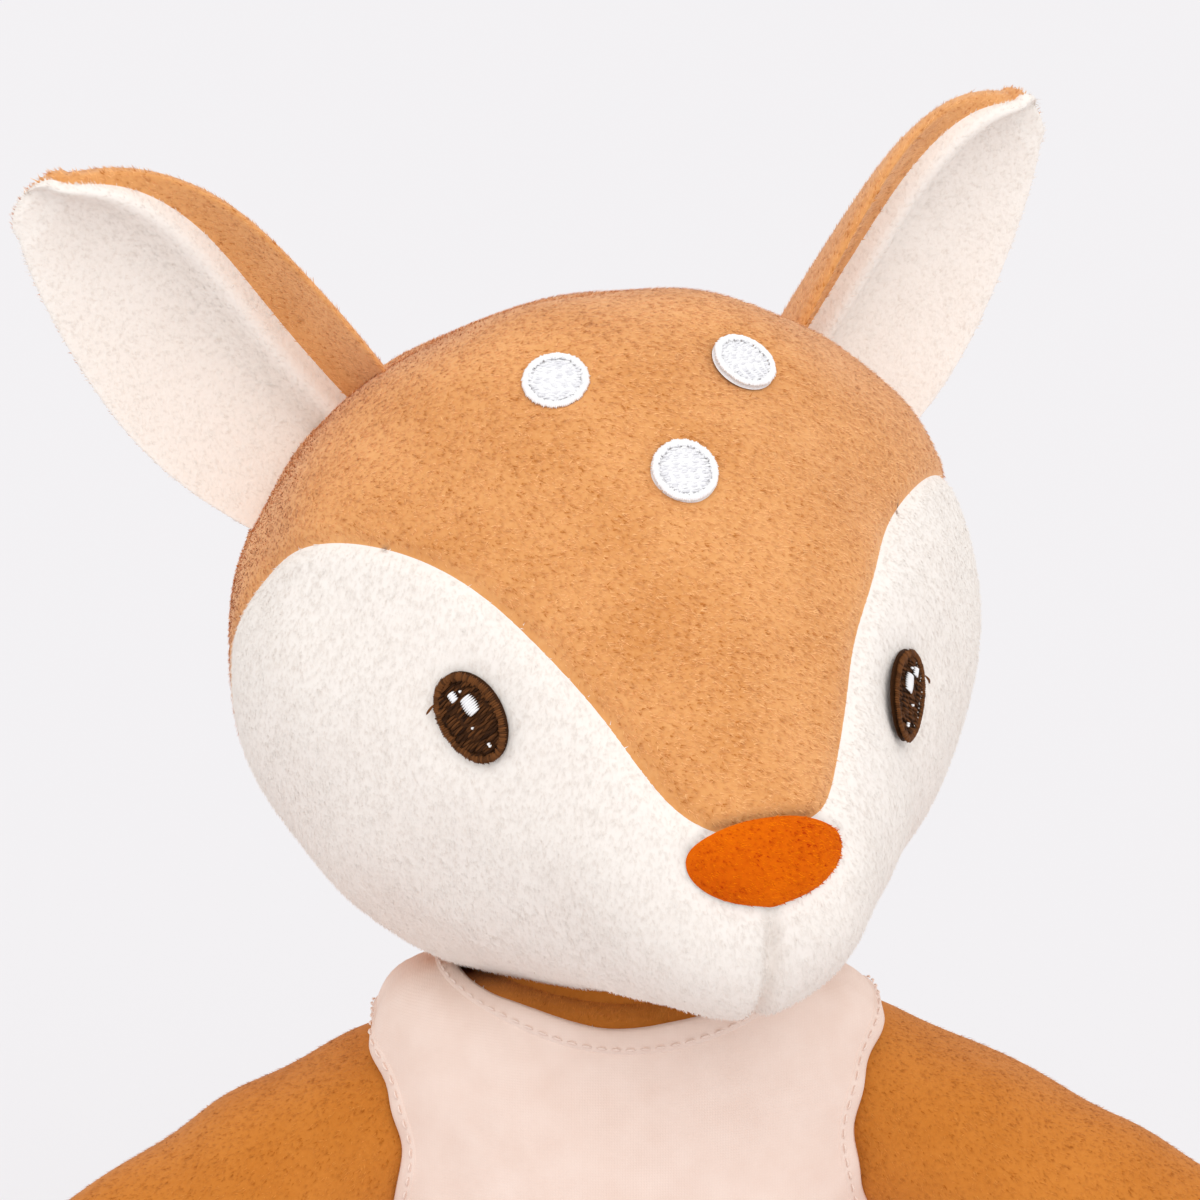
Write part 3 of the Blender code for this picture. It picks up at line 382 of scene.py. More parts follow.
# Head: crown, cheeks and back panels of plush sewn together over fibre. The panels are parts of
# one loft, cut where the seams run, and drawn in along each seam, under the eyes and spots.
HEAD_LENGTH = 0.1134
HEAD_HALF_WIDTH = 0.0512
HEAD_HALF_HEIGHT = 0.0467
HEAD_BACK_SHARE = 0.4762
HEAD_RING_SHARES = (
    (0.000, 0.20, 0.12, 0.21),
    (0.070, 0.60, 0.02, 0.61),
    (0.230, 0.89, -0.09, 0.89),
    (0.440, 1.00, -0.11, 1.00),
    (0.610, 0.97, -0.01, 1.00),
    (0.760, 0.64, -0.15, 0.83),
    (0.880, 0.42, -0.42, 0.56),
    (0.963, 0.28, -0.56, 0.36),
    (1.000, 0.12, -0.47, 0.15),
)
HEAD_SETBACK = 0.0020
HEAD_LIFT = 0.0500
HEAD_TURN = np.radians(18)
HEAD_TILT = np.radians(-4)
CHEEK_SEAM_SHARES = (
    (0.560, -0.480),
    (0.500, -0.380),
    (0.455, -0.240),
    (0.425, -0.140),
    (0.388, -0.026),
    (0.347, 0.090),
    (0.309, 0.188),
    (0.272, 0.263),
    (0.227, 0.323),
    (0.166, 0.353),
    (0.101, 0.319),
    (0.038, 0.233),
    (-0.006, 0.128),
    (-0.065, 0.019),
    (-0.112, -0.120),
    (-0.120, -0.330),
    (-0.115, -0.560),
    (-0.050, -0.830),
    (0.060, -1.260),
    (0.620, -1.260),
)
CHEEK_POINTS = 160
BACK_SEAM_SHARE = 0.1235
BACK_SEAM_LEAN = 0.06
BACK_SEAM_BEND_SHARE = 0.3
BROWN = ((0.56, 0.185, 0.024), (0.96, 0.51, 0.205))
CREAM = ((0.895, 0.825, 0.765), (0.950, 0.900, 0.850))
CREAM_TONE = 0.5
HEAD_SEAM_DEPTH = 0.0007
HEAD_SEAM_WIDTH = 0.0010
HEAD_REACH = 0.012
HEAD_PANEL_FILL = 0.9
HEAD_BROWN_TONE = 0.25
MUZZLE_START_SHARE = -0.40
NOSE_START_SHARE = -0.44
NOSE_POINTS = 72
NOSE_CUT_SHARE = 1.05
NOSE_HALF_WIDTH = 0.0098
NOSE_HALF_HEIGHT = 0.0055
NOSE_CENTRE_SHARE = -0.4925
NOSE_OUTLINE_SHARES = (
    (0.00, 0.96),
    (0.38, 0.92),
    (0.74, 0.68),
    (0.96, 0.38),
    (1.00, 0.06),
    (0.94, -0.28),
    (0.74, -0.62),
    (0.42, -0.86),
    (0.14, -0.94),
    (0.00, -1.02),
)
SPOT_RADIUS = 0.0043
EYE_HALF_WIDTH = 0.0044
EYE_DIMPLE_SHARE = 1.3
EYE_BARE_SHARE = 1.1
DIMPLE_DEPTH = 0.0006
DIMPLE_REACH_SHARE = 1.25
NOSE_ROOM = 0.0025
PUFF_PLACE = (0.0075, -0.0355)
PUFF_SIZE = 0.0065
PUFF_HEIGHT = 0.0012
PHILTRUM_DEPTH = 0.0012
PHILTRUM_WIDTH = 0.0011
HEAD_FILL_SHARE = 0.97
SEAM_BARE = 0.00035
CROWN_DENSITY = 9.0e6
CHEEK_DENSITY = 7.0e6
BACK_DENSITY = 4.0e6
PILE_LENGTH = 0.0011
PILE_WIDTH = 0.00022
PILE_SCATTER = 0.35
PILE_WIDTH_SHARES = (0.7, 1.3)
PILE_LENGTH_SHARES = (0.6, 1.15)
PILE_LEAN_SHARES = (0.94, 0.995)
PILE_ROOT_SHARE = 0.15
PILE_BLADE_SHARE = 0.15
TUFT_TONE = 0.35
# Painted shade: how much lighter each tuft's tip is than its root.
ROOT_SHADE_STEP = 0.35
CLUMP_SIZE = 0.0010
CLUMP_DEPTH = 0.40
# Painted shade: how much deeper the tone is where the comb points into the surface.
NAP_SHADE_DEPTH = 0.14
HALVINGS = 30
SNAPS = 4
FAR = 1.0
LEAST_SIZE = 1e-6

brown_plush = cloth_material(
    "caramel_plush", PILE_GROUP, BROWN, PLUSH_ROUGHNESS, bump=0.5, sheen=0.25
)
cream_plush = cloth_material(
    "cream_plush", PILE_GROUP, CREAM, PLUSH_ROUGHNESS, bump=0.3, sheen=0.1
)


def turn_about(axis, angle):
    """A rotation matrix about x, y or z (0, 1 or 2)."""
    first, second = (axis + 1) % 3, (axis + 2) % 3
    matrix = np.eye(3)
    matrix[first, first] = matrix[second, second] = np.cos(angle)
    matrix[first, second] = -np.sin(angle)
    matrix[second, first] = np.sin(angle)
    return matrix


HEAD_AXES = (turn_about(1, HEAD_TILT) @ turn_about(2, HEAD_TURN)).T
HEAD_ORIGIN = np.array((0, 0, NECK_TOP)) + np.array((0, -HEAD_SETBACK, HEAD_LIFT)) @ HEAD_AXES
HEAD_FORWARD = np.array(((0, -1, 0), (1, 0, 0), (0, 0, 1))) @ HEAD_AXES


def head_rings(growth):
    """The head's rings from its back to its nose, grown by a cloth's distance."""
    shares = np.array(HEAD_RING_SHARES)
    rings = np.stack(
        (
            (shares[:, 0] - HEAD_BACK_SHARE) * HEAD_LENGTH,
            shares[:, 2] * HEAD_HALF_HEIGHT,
            shares[:, 1] * HEAD_HALF_WIDTH + growth,
            shares[:, 3] * HEAD_HALF_HEIGHT + growth,
        ),
        axis=1,
    )
    rings[0, 0] -= growth
    rings[-1, 0] += growth
    return rings


def depth_in(rows, local):
    """How deep points (along, across, up) are in a round form: 1 - (x / w)^2 - (z / h)^2."""
    along, across, up = local.T
    order = np.argsort(rows[:, 0])
    lift, width, height = (
        np.interp(along, rows[order, 0], rows[order, column]) for column in (1, 2, 3)
    )
    within = (along > rows[:, 0].min()) & (along < rows[:, 0].max())
    width, height = np.maximum(width, LEAST_SIZE), np.maximum(height, LEAST_SIZE)
    depth = 1 - (across / width) ** 2 - ((up - lift) / height) ** 2
    return np.where(within, depth, -1.0)


def first_inside(rows, origin, axes, points_at, count, end):
    """Points where paths into a round form cross its surface, found by halving.

    points_at gives a point on each path for a value from 0, outside, to the end, inside.
    """
    low, high = np.zeros(count), np.full(count, end)
    for _ in range(HALVINGS):
        middle = (low + high) / 2
        inside = depth_in(rows, (points_at(middle[:, None]) - origin) @ np.array(axes).T) > 0
        high = np.where(inside, middle, high)
        low = np.where(inside, low, middle)
    return points_at(high[:, None])


def meet(rows, origin, axes, starts, ends):
    """Where lines from outside a round form to inside it cross its surface."""
    return first_inside(
        rows, origin, axes, lambda share: starts + (ends - starts) * share, len(starts), 1.0
    )


def inside_outline(points, outline):
    """Whether flat points are inside a closed outline, by the odd count of crossings."""
    start, end = outline, np.roll(outline, -1, axis=0)
    rise = end[:, 1] - start[:, 1]
    rise = np.where(rise == 0, TINY, rise)
    crosses = (start[:, 1] > points[:, 1:]) != (end[:, 1] > points[:, 1:])
    at = start[:, 0] + (points[:, 1:] - start[:, 1]) * (end - start)[:, 0] / rise
    return (crosses & (points[:, :1] < at)).sum(axis=1) % 2 == 1


def nearest_on(points, line):
    """The nearest place on a flat polyline to each flat point."""
    start, step = line[:-1], np.diff(line, axis=0)
    share = ((points[:, None] - start) * step).sum(axis=2) / (step**2).sum(axis=1)
    near = start + np.clip(share, 0, 1)[..., None] * step
    chosen = np.linalg.norm(points[:, None] - near, axis=2).argmin(axis=1)
    return near[np.arange(len(points)), chosen]


def line_distance(points, line):
    """The distance of flat points from a flat polyline."""
    return np.linalg.norm(points - nearest_on(points, line), axis=1)


def disc_triangles(rings, turns):
    """Triangles of a (ring, turn) grid that widens from one point, its whole first ring."""
    index = np.arange(rings * turns).reshape(rings, turns)
    index[0] = 0
    after = np.roll(index, -1, axis=1)
    inner = np.stack((index[:-1], after[1:], index[1:]), axis=-1).reshape(-1, 3)
    outer = np.stack((index[1:-1], after[1:-1], after[2:]), axis=-1).reshape(-1, 3)
    return np.concatenate((inner, outer))


def turned_to(places, triangles, out):
    """The same triangles, turned so that they face the way out on the whole."""
    agreement = (point_normals(places, triangles) * out).sum()
    return triangles if agreement > 0 else triangles[:, ::-1]


def closed_spline(points, count):
    """A smooth closed line of a number of points through a flat outline's control points."""
    control = np.vstack((points[-1:], points, points[:2]))
    return spline(control, np.linspace(0, len(points), count, endpoint=False))


def add_pile(name, surface, density, comb, material, body, seed, length=PILE_LENGTH):
    """Tufts on a surface: per tuft a triangle from its root to its tip, at
    root + length (comb lean + normal sqrt(1 - lean^2)). The tone varies in clumps, is lighter
    toward the tip than at the root as painted shade, and is deeper as painted shade on the side
    where the comb points into the surface."""
    places, triangles = surface
    random = np.random.default_rng(seed)
    a, b, c = (places[triangles[:, corner]] for corner in range(3))
    area = np.linalg.norm(np.cross(b - a, c - a), axis=1) / 2
    count = int(area.sum() * density)
    chosen = random.choice(len(triangles), count, p=area / area.sum())
    near = np.sqrt(random.random((count, 1)))
    turn = random.random((count, 1))
    roots = a[chosen] * (1 - near) + b[chosen] * near * (1 - turn) + c[chosen] * near * turn
    normals = point_normals(places, triangles)[triangles[chosen, 0]]
    lie = np.broadcast_to(np.array(comb, dtype=float), roots.shape)
    lie = lie / np.linalg.norm(lie, axis=1, keepdims=True)
    # Painted shade: the tone is deeper where the comb points into the surface and lighter where
    # it points out.
    nap_shade = (lie * normals).sum(axis=1, keepdims=True) * NAP_SHADE_DEPTH
    lie = lie + random.normal(scale=PILE_SCATTER, size=roots.shape)
    lie -= normals * (lie * normals).sum(axis=1, keepdims=True)
    lie /= np.linalg.norm(lie, axis=1, keepdims=True)
    width = PILE_WIDTH * random.uniform(*PILE_WIDTH_SHARES, (count, 1))
    side = np.cross(normals, lie) * width / 2
    lean = random.uniform(*PILE_LEAN_SHARES, (count, 1))
    reach = length * random.uniform(*PILE_LENGTH_SHARES, (count, 1))
    tips = roots + reach * (lie * lean + normals * np.sqrt(1 - lean**2))
    roots = roots - normals * length * PILE_ROOT_SHARE
    corners = np.stack((roots + side, roots - side, tips), axis=1).reshape(-1, 3)
    corners[:, 2] = np.maximum(corners[:, 2], PILE_WIDTH)
    clump = waves(roots, CLUMP_SIZE, seed)[:, None] * CLUMP_DEPTH + nap_shade
    # The tip corner is lighter than the two root corners: painted shade at the roots.
    tone = random.uniform(0, TUFT_TONE, (count, 1)) + clump + np.array((0, 0, ROOT_SHADE_STEP))
    tufts = add_mesh(
        name, corners, np.arange(count * 3).reshape(-1, 3), material, tone.reshape(-1)
    )
    blade = np.cross(-2 * side, tips - roots - side)
    blade /= np.maximum(np.linalg.norm(blade, axis=1, keepdims=True), TINY)
    soft = normals * (1 - PILE_BLADE_SHARE) + blade * PILE_BLADE_SHARE
    soft /= np.linalg.norm(soft, axis=1, keepdims=True)
    tufts.data.normals_split_custom_set_from_vertices(np.repeat(soft, 3, axis=0))
    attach(tufts, body)


head_rows = even_rows(head_rings(0.0), SKIN_STEP)
head_grid = round_form(head_rows, SKIN_STEP, HEAD_FORWARD, HEAD_ORIGIN)
head_triangles = closed_triangles(*head_grid.shape[:2])
head_places = head_grid.reshape(-1, 3)
head_triangles = facing_out(head_places, head_triangles)
head_local = (head_places - HEAD_ORIGIN) @ HEAD_AXES.T
cheek_seam = np.array(CHEEK_SEAM_SHARES) * (HEAD_LENGTH, HEAD_HALF_HEIGHT)
cheek_line = closed_spline(cheek_seam, CHEEK_POINTS)
half_nose = np.array(NOSE_OUTLINE_SHARES)
nose_outline = np.vstack((half_nose, (half_nose * (-1, 1))[-2:0:-1]))
nose_outline = closed_spline(nose_outline, NOSE_POINTS) * NOSE_CUT_SHARE
nose_outline = nose_outline * (NOSE_HALF_WIDTH, NOSE_HALF_HEIGHT)
nose_outline = nose_outline + (0, NOSE_CENTRE_SHARE * HEAD_HALF_HEIGHT)


def on_head(places, normal):
    """Places near the head moved along a direction in its own axes onto its plush, in world."""
    world = places @ HEAD_AXES + HEAD_ORIGIN
    reach = np.array(normal) * HEAD_REACH @ HEAD_AXES
    return meet(head_rows, HEAD_ORIGIN, HEAD_FORWARD, world + reach, world - reach)


def unit(vector):
    """A direction of length 1."""
    return np.array(vector, dtype=float) / np.linalg.norm(vector)


SPOT_SHARES = {
    "left": ((0.2461, 0.2275, 0.7323), (0.25, -0.69, 0.68)),
    "right": ((-0.2461, 0.2275, 0.7323), (-0.25, -0.69, 0.68)),
    "middle": ((0.0, 0.3228, 0.4818), (0.0, -0.85, 0.53)),
}
EYE_SHARES = {
    "left": ((0.5234, 0.3422, -0.1884), (0.70, -0.70, -0.10)),
    "right": ((-0.5801, 0.3148, -0.1113), (-0.70, -0.70, -0.10)),
}
HEAD_SIZES = (HEAD_HALF_WIDTH, -HEAD_LENGTH, HEAD_HALF_HEIGHT)

# Each embroidered place, with the radius of its dimple and of its patch without pile.
embroidered = [
    (np.array(place) * HEAD_SIZES, dimple, bare)
    for table, dimple, bare in (
        (SPOT_SHARES, SPOT_RADIUS, SPOT_RADIUS),
        (EYE_SHARES, EYE_HALF_WIDTH * EYE_DIMPLE_SHARE, EYE_HALF_WIDTH * EYE_BARE_SHARE),
    )
    for place, _ in table.values()
]


def behind_seam(places):
    """How far places in the head's axes lie behind the back seam, which leans back below."""
    low = np.clip(BACK_SEAM_BEND_SHARE - places[:, 2] / HEAD_HALF_HEIGHT, 0, 1)
    return places[:, 1] - (BACK_SEAM_SHARE + BACK_SEAM_LEAN * low) * HEAD_LENGTH


# Which panel each triangle belongs to, by its middle.
middle_local = head_local[head_triangles].mean(axis=1)
left_side = middle_local[:, 0] > 0
face_side = behind_seam(middle_local) < 0
cheek_side = inside_outline(middle_local[:, 1:] * (-1, 1), cheek_line) & face_side

# The mesh's points along the cheek seam move onto its line, and triangles that this turns
# inside out are turned back.
seam_points = np.intersect1d(head_triangles[cheek_side], head_triangles[face_side & ~cheek_side])
wrapped_line = np.vstack((cheek_line, cheek_line[:1]))
head_normals = point_normals(head_places, head_triangles)
seam_normals = head_normals[seam_points] @ HEAD_AXES.T
for _ in range(SNAPS):
    flat = head_local[seam_points, 1:] * (-1, 1)
    step = (nearest_on(flat, wrapped_line) - flat) * (-1, 1)
    step = np.column_stack((np.zeros(len(step)), step))
    step -= seam_normals * (step * seam_normals).sum(axis=1, keepdims=True)
    head_local[seam_points] += step
head_places = head_local @ HEAD_AXES + HEAD_ORIGIN
first, second, third = (head_places[head_triangles[:, corner]] for corner in range(3))
agreement = np.cross(second - first, third - first) * head_normals[head_triangles[:, 0]]
turned_in = agreement.sum(axis=1) < 0
head_triangles[turned_in] = head_triangles[turned_in, ::-1]

# Seams, dimples, the muzzle's two puffs and the groove between them, and the stuffing's lumps
# move each point along its normal.
side_view = head_local[:, 1:] * (-1, 1)
front_view = head_local[:, ::2]
seam_distance = line_distance(side_view, cheek_line)
on_face = behind_seam(head_local) < 0
seam_distance = np.where(on_face, seam_distance, FAR)
in_cheek = inside_outline(side_view, cheek_line)
chin_seam = np.where(in_cheek & on_face, np.abs(head_local[:, 0]), FAR)
back_seam = np.abs(behind_seam(head_local))
rear_seam = np.where(on_face, FAR, np.abs(head_local[:, 0]))
nose_seam = line_distance(front_view, np.vstack((nose_outline, nose_outline[:1])))
nose_seam = np.where(head_local[:, 1] < NOSE_START_SHARE * HEAD_LENGTH, nose_seam, FAR)
head_drop = np.zeros(len(head_places))
for distance in (seam_distance, chin_seam, back_seam, rear_seam, nose_seam):
    head_drop -= HEAD_SEAM_DEPTH * np.exp(-((distance / HEAD_SEAM_WIDTH) ** 2))
for place, radius, _ in embroidered:
    away = np.linalg.norm(head_local - place, axis=1)
    head_drop -= DIMPLE_DEPTH * np.exp(-((away / (radius * DIMPLE_REACH_SHARE)) ** 4))
muzzle = on_face & (head_local[:, 1] < MUZZLE_START_SHARE * HEAD_LENGTH)
clear_of_nose = np.where(inside_outline(front_view, nose_outline), 0, nose_seam)
clear_of_nose = muzzle * (1 - np.exp(-((clear_of_nose / NOSE_ROOM) ** 2)))
philtrum = np.exp(-((head_local[:, 0] / PHILTRUM_WIDTH) ** 2)) * PHILTRUM_DEPTH
head_drop -= np.where(front_view[:, 1] < nose_outline[:, 1].mean(), philtrum, 0) * clear_of_nose
for mirror in (1, -1):
    puff = np.linalg.norm(front_view - np.array(PUFF_PLACE) * (mirror, 1), axis=1)
    head_drop += clear_of_nose * PUFF_HEIGHT * np.exp(-((puff / PUFF_SIZE) ** 2))
head_drop += waves(head_places, LUMP_SIZE, 2) * LUMP_DEPTH
head_skin = head_places + head_normals * head_drop[:, None]

# The panels, with pile everywhere but under the nose, the eyes, the spots and along the cheek
# seam on the brown side.
nose_side = inside_outline(middle_local[:, ::2], nose_outline) & (
    middle_local[:, 1] < NOSE_START_SHARE * HEAD_LENGTH
)
BROWN_COMB = (1.0, -0.15, -0.35)
CREAM_COMB = (0.3, 0.4, -1.0)
brown_look = (brown_plush, HEAD_BROWN_TONE, BROWN_COMB)
cream_look = (cream_plush, CREAM_TONE, CREAM_COMB)
panels = (
    ("crown", face_side & ~cheek_side, brown_look, CROWN_DENSITY, "crown_panel"),
    ("cheek_left", cheek_side & left_side, cream_look, CHEEK_DENSITY, "cheek_left"),
    ("cheek_right", cheek_side & ~left_side, cream_look, CHEEK_DENSITY, "cheek_right"),
    ("head_back_left", ~face_side & left_side, brown_look, BACK_DENSITY, "head_back_left"),
    ("head_back_right", ~face_side & ~left_side, brown_look, BACK_DENSITY, "head_back_right"),
)
for seed, (name, mask, (material, tone, comb), density, node) in enumerate(panels, start=10):
    soft_piece(
        f"{name}_plush", head_skin, head_triangles[mask], material, tone, HEAD_PANEL_FILL,
        "head", node,
    )
    shown = mask & ~nose_side
    if name == "crown":
        shown &= seam_distance[head_triangles].min(axis=1) > SEAM_BARE
    for place, _, radius in embroidered:
        shown &= np.linalg.norm(middle_local - place, axis=1) > radius
    add_pile(
        f"{name}_pile", (head_skin, head_triangles[shown]), density, comb, material, "head",
        seed,
    )
stuffed(
    "head_fill", head_rings(fill_growth) * (HEAD_FILL_SHARE, 1, 1, 1), LINING_STEP,
    HEAD_FORWARD, HEAD_ORIGIN, fibre, FIBRE_TONE, "head", "head_stuffing",
)

# Nose: a small patch of orange short-pile plush, cut to a soft triangle and sewn down along its
# edge, so that it stands up as a low cushion. The pile is combed to one side.
NOSE = ((0.50, 0.036, 0.0004), (0.90, 0.20, 0.0015))
nose_plush = cloth_material("nose_plush", PILE_GROUP, NOSE, PLUSH_ROUGHNESS, bump=0.6)
NOSE_PLUMPNESS = 0.0013
NOSE_TUCK = 0.0001
NOSE_AHEAD = 0.052
NOSE_RINGS = 16
NOSE_ROUNDNESS = 2.5
NOSE_PILE_SHARE = 0.7
NOSE_FILL = 0.7
NOSE_FACING = (0, -1, 0.1)
NOSE_COMB = (1.0, -0.1, -0.3)
nose_rings = np.linspace(0, 1, NOSE_RINGS)
nose_middle = nose_outline.mean(axis=0)
nose_flat = nose_middle + (nose_outline - nose_middle) * nose_rings[:, None, None]
nose_front = np.insert(nose_flat, 1, -NOSE_AHEAD, axis=-1).reshape(-1, 3)
nose_shape = np.sqrt(1 - nose_rings**NOSE_ROUNDNESS) * NOSE_PLUMPNESS - NOSE_TUCK
nose_out = unit(NOSE_FACING) @ HEAD_AXES
nose_places = (
    on_head(nose_front, (0, -1, 0)) + nose_out * np.repeat(nose_shape, NOSE_POINTS)[:, None]
)
nose_triangles = turned_to(nose_places, disc_triangles(NOSE_RINGS, NOSE_POINTS), nose_out)
soft_piece(
    "nose", nose_places, nose_triangles, nose_plush, BROWN_TONE, NOSE_FILL, "head",
    "nose_patch",
)
add_pile(
    "nose_pile", (nose_places, nose_triangles), CROWN_DENSITY, NOSE_COMB, nose_plush, "head",
    30, PILE_LENGTH * NOSE_PILE_SHARE,
)

# Embroidery: satin stitches of shiny thread. Three white spots with a raised border; dark
# almond eyes with white glints, a lighter border and one lash, each on a low padded oval.
THREAD_RADIUS = 0.00017
THREAD_PITCH = 0.00030
THREAD_RISE = 0.00025
THREAD_STATIONS = 7
THREAD_SIDES = 6
THREAD_WANDER_SHARE = 0.25
STITCH_LENGTH = 0.0021
FIRST_STITCH_SHARES = (0.3, 1)
BORDER_PITCH = 0.00027
BORDER_LENGTH = 0.0011
BORDER_LIFT = 0.00035
BORDER_INNER_SHARES = (0.8, 1.1)
BORDER_OUTER_SHARES = (0.0, 0.18)
PAD_RINGS = 10
PAD_TURNS = 48
PAD_RISE = 0.0003
PAD_ROUNDNESS = 6
TWIST = {"Scale": 6000}
TWIST_SHARE = 0.4
WHITE = ((0.76, 0.76, 0.80), (0.97, 0.97, 0.98))
DARK = ((0.022, 0.008, 0.003), (0.17, 0.062, 0.018))


def thread_group():
    """Thread colour: each stitch has its own tone, with a little mottling along it."""
    group = new_group("thread_colour")
    twist = texture(group, "ShaderNodeTexNoise", TWIST)
    shade = weighted(group, twist.outputs["Fac"], TWIST_SHARE, stored_tone(group))
    return finish_group(group, shade, twist.outputs["Fac"])


THREAD_GROUP = thread_group()
white_thread = cloth_material("white_thread", THREAD_GROUP, WHITE, roughness=0.5, bump=0.3)
dark_thread = cloth_material("dark_thread", THREAD_GROUP, DARK, roughness=0.55, bump=0.3)


def add_threads(name, starts, ends, normals, tones, material, body, radius=THREAD_RADIUS):
    """Stitches: centre start + (end - start) t + normal rise sin(pi t), closed to a point at
    both ends, their radius growing as the root of sin(pi t)."""
    t = np.linspace(0, 1, THREAD_STATIONS)
    bow = np.sin(np.pi * t)
    line = starts[:, None] + (ends - starts)[:, None] * t[:, None]
    line = line + normals[:, None] * (THREAD_RISE * bow)[:, None]
    across = np.cross(normals, ends - starts)
    across /= np.maximum(np.linalg.norm(across, axis=1, keepdims=True), TINY)
    angle = (2 * np.pi * np.arange(THREAD_SIDES) / THREAD_SIDES)[:, None]
    ring = across[:, None] * np.cos(angle) + normals[:, None] * np.sin(angle)
    size = radius * np.sqrt(bow.clip(0))
    points = line[:, :, None] + ring[:, None] * size[:, None, None]
    triangles = closed_triangles(THREAD_STATIONS, THREAD_SIDES)
    first = facing_out(points[0].reshape(-1, 3), triangles)
    count = THREAD_STATIONS * THREAD_SIDES
    every = (first + np.arange(len(starts))[:, None, None] * count).reshape(-1, 3)
    piece = add_mesh(
        name, points.reshape(-1, 3), every, material, np.repeat(tones, count)
    )
    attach(piece, body)
    return piece


def oval_pad(name, oval, half_long, half_short, tone, material):
    """The padding under satin stitches: an oval of rings on the plush, its rim sunk in it."""
    place, normal, long_axis, short_axis = oval
    angle = 2 * np.pi * np.arange(PAD_TURNS) / PAD_TURNS
    rings = np.linspace(0, 1, PAD_RINGS)
    share = rings[:, None]
    flat = (
        place
        + (share * np.cos(angle) * half_long)[..., None] * long_axis
        + (share * np.sin(angle) * half_short)[..., None] * short_axis
    ).reshape(-1, 3)
    rise = np.repeat(PAD_RISE * (1 - 2 * rings**PAD_ROUNDNESS), PAD_TURNS)[:, None]
    places = on_head(flat, normal) + (normal @ HEAD_AXES) * rise
    triangles = turned_to(places, disc_triangles(PAD_RINGS, PAD_TURNS), normal @ HEAD_AXES)
    piece = add_mesh(name, places, triangles, material, np.full(len(places), tone))
    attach(piece, "head")


def eye_axes(normal, slant, mirror):
    """The long and short axes of an oval on the head, the long one slanting up and outward."""
    across = unit(np.cross((0, 0, 1), normal)) * mirror
    up = np.cross(across, normal) * -mirror
    return (
        across * np.sin(slant) + up * np.cos(slant),
        across * np.cos(slant) - up * np.sin(slant),
    )


def satin(half_long, half_short, pitch, stitch, random):
    """Rows of stitches that fill an oval along its short axis, as flat (start, end) places."""
    starts, ends = [], []
    for along in np.arange(-half_long + pitch, half_long - pitch / 2, pitch):
        reach = half_short * np.sqrt(1 - (along / half_long) ** 2)
        first = random.uniform(*FIRST_STITCH_SHARES) * stitch
        edges = np.concatenate(([-reach], np.arange(-reach + first, reach, stitch), [reach]))
        wander = random.normal(scale=pitch * THREAD_WANDER_SHARE, size=len(edges))
        line = np.stack((along + wander, edges), axis=1)
        starts.append(line[:-1])
        ends.append(line[1:])
    return np.concatenate(starts), np.concatenate(ends)


def border(half_long, half_short, pitch, length, random):
    """Stitches square to an oval's rim, as flat (start, end) places."""
    count = round(np.pi * (half_long + half_short) / pitch)
    angle = 2 * np.pi * np.arange(count) / count
    rim = np.stack((half_long * np.cos(angle), half_short * np.sin(angle)), axis=1)
    out = np.stack((np.cos(angle) / half_long, np.sin(angle) / half_short), axis=1)
    out /= np.linalg.norm(out, axis=1, keepdims=True)
    inner = rim - out * length * random.uniform(*BORDER_INNER_SHARES, (count, 1))
    outer = rim + out * length * random.uniform(*BORDER_OUTER_SHARES, (count, 1))
    return inner, outer


def stitch_on(name, oval, flat, lift, tones, material, radius=THREAD_RADIUS):
    """Flat stitches laid on the head in an oval's own axes, lifted off the plush."""
    place, normal, long_axis, short_axis = oval
    away = normal @ HEAD_AXES
    starts, ends = (
        on_head(place + end[:, :1] * long_axis + end[:, 1:] * short_axis, normal) + away * lift
        for end in flat
    )
    normals = np.broadcast_to(away, starts.shape)
    return add_threads(name, starts, ends, normals, tones, material, "head", radius)


SPOT_FILL_SHARE = 0.9
SPOT_STITCH_SHARE = 0.6
SPOT_FILL_LIFT = 0.0001
SPOT_FILL_TONES = (0, 0.9)
SPOT_PAD_TONE = 0.55
SPOT_BORDER_TONES = (0.6, 1)
SPOT_BORDER_SHARE = 1.15
for order, (name, (place, normal)) in enumerate(SPOT_SHARES.items()):
    random = np.random.default_rng(40 + order)
    normal = unit(normal)
    across = unit(np.cross((0, 0, 1), normal))
    oval = (np.array(place) * HEAD_SIZES, normal, np.cross(normal, across), across)
    oval_pad(f"spot_{name}_pad", oval, SPOT_RADIUS, SPOT_RADIUS, SPOT_PAD_TONE, white_thread)
    inner = SPOT_RADIUS * SPOT_FILL_SHARE
    flat = satin(inner, inner, THREAD_PITCH, STITCH_LENGTH * SPOT_STITCH_SHARE, random)
    tones = random.uniform(*SPOT_FILL_TONES, len(flat[0]))
    stitch_on(f"spot_{name}_fill", oval, flat, SPOT_FILL_LIFT, tones, white_thread)
    flat = border(SPOT_RADIUS, SPOT_RADIUS, BORDER_PITCH, BORDER_LENGTH, random)
    tones = random.uniform(*SPOT_BORDER_TONES, len(flat[0]))
    rim = stitch_on(
        f"spot_{name}_border", oval, flat, BORDER_LIFT, tones, white_thread,
        THREAD_RADIUS * SPOT_BORDER_SHARE,
    )
    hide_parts(f"spot_{name}")

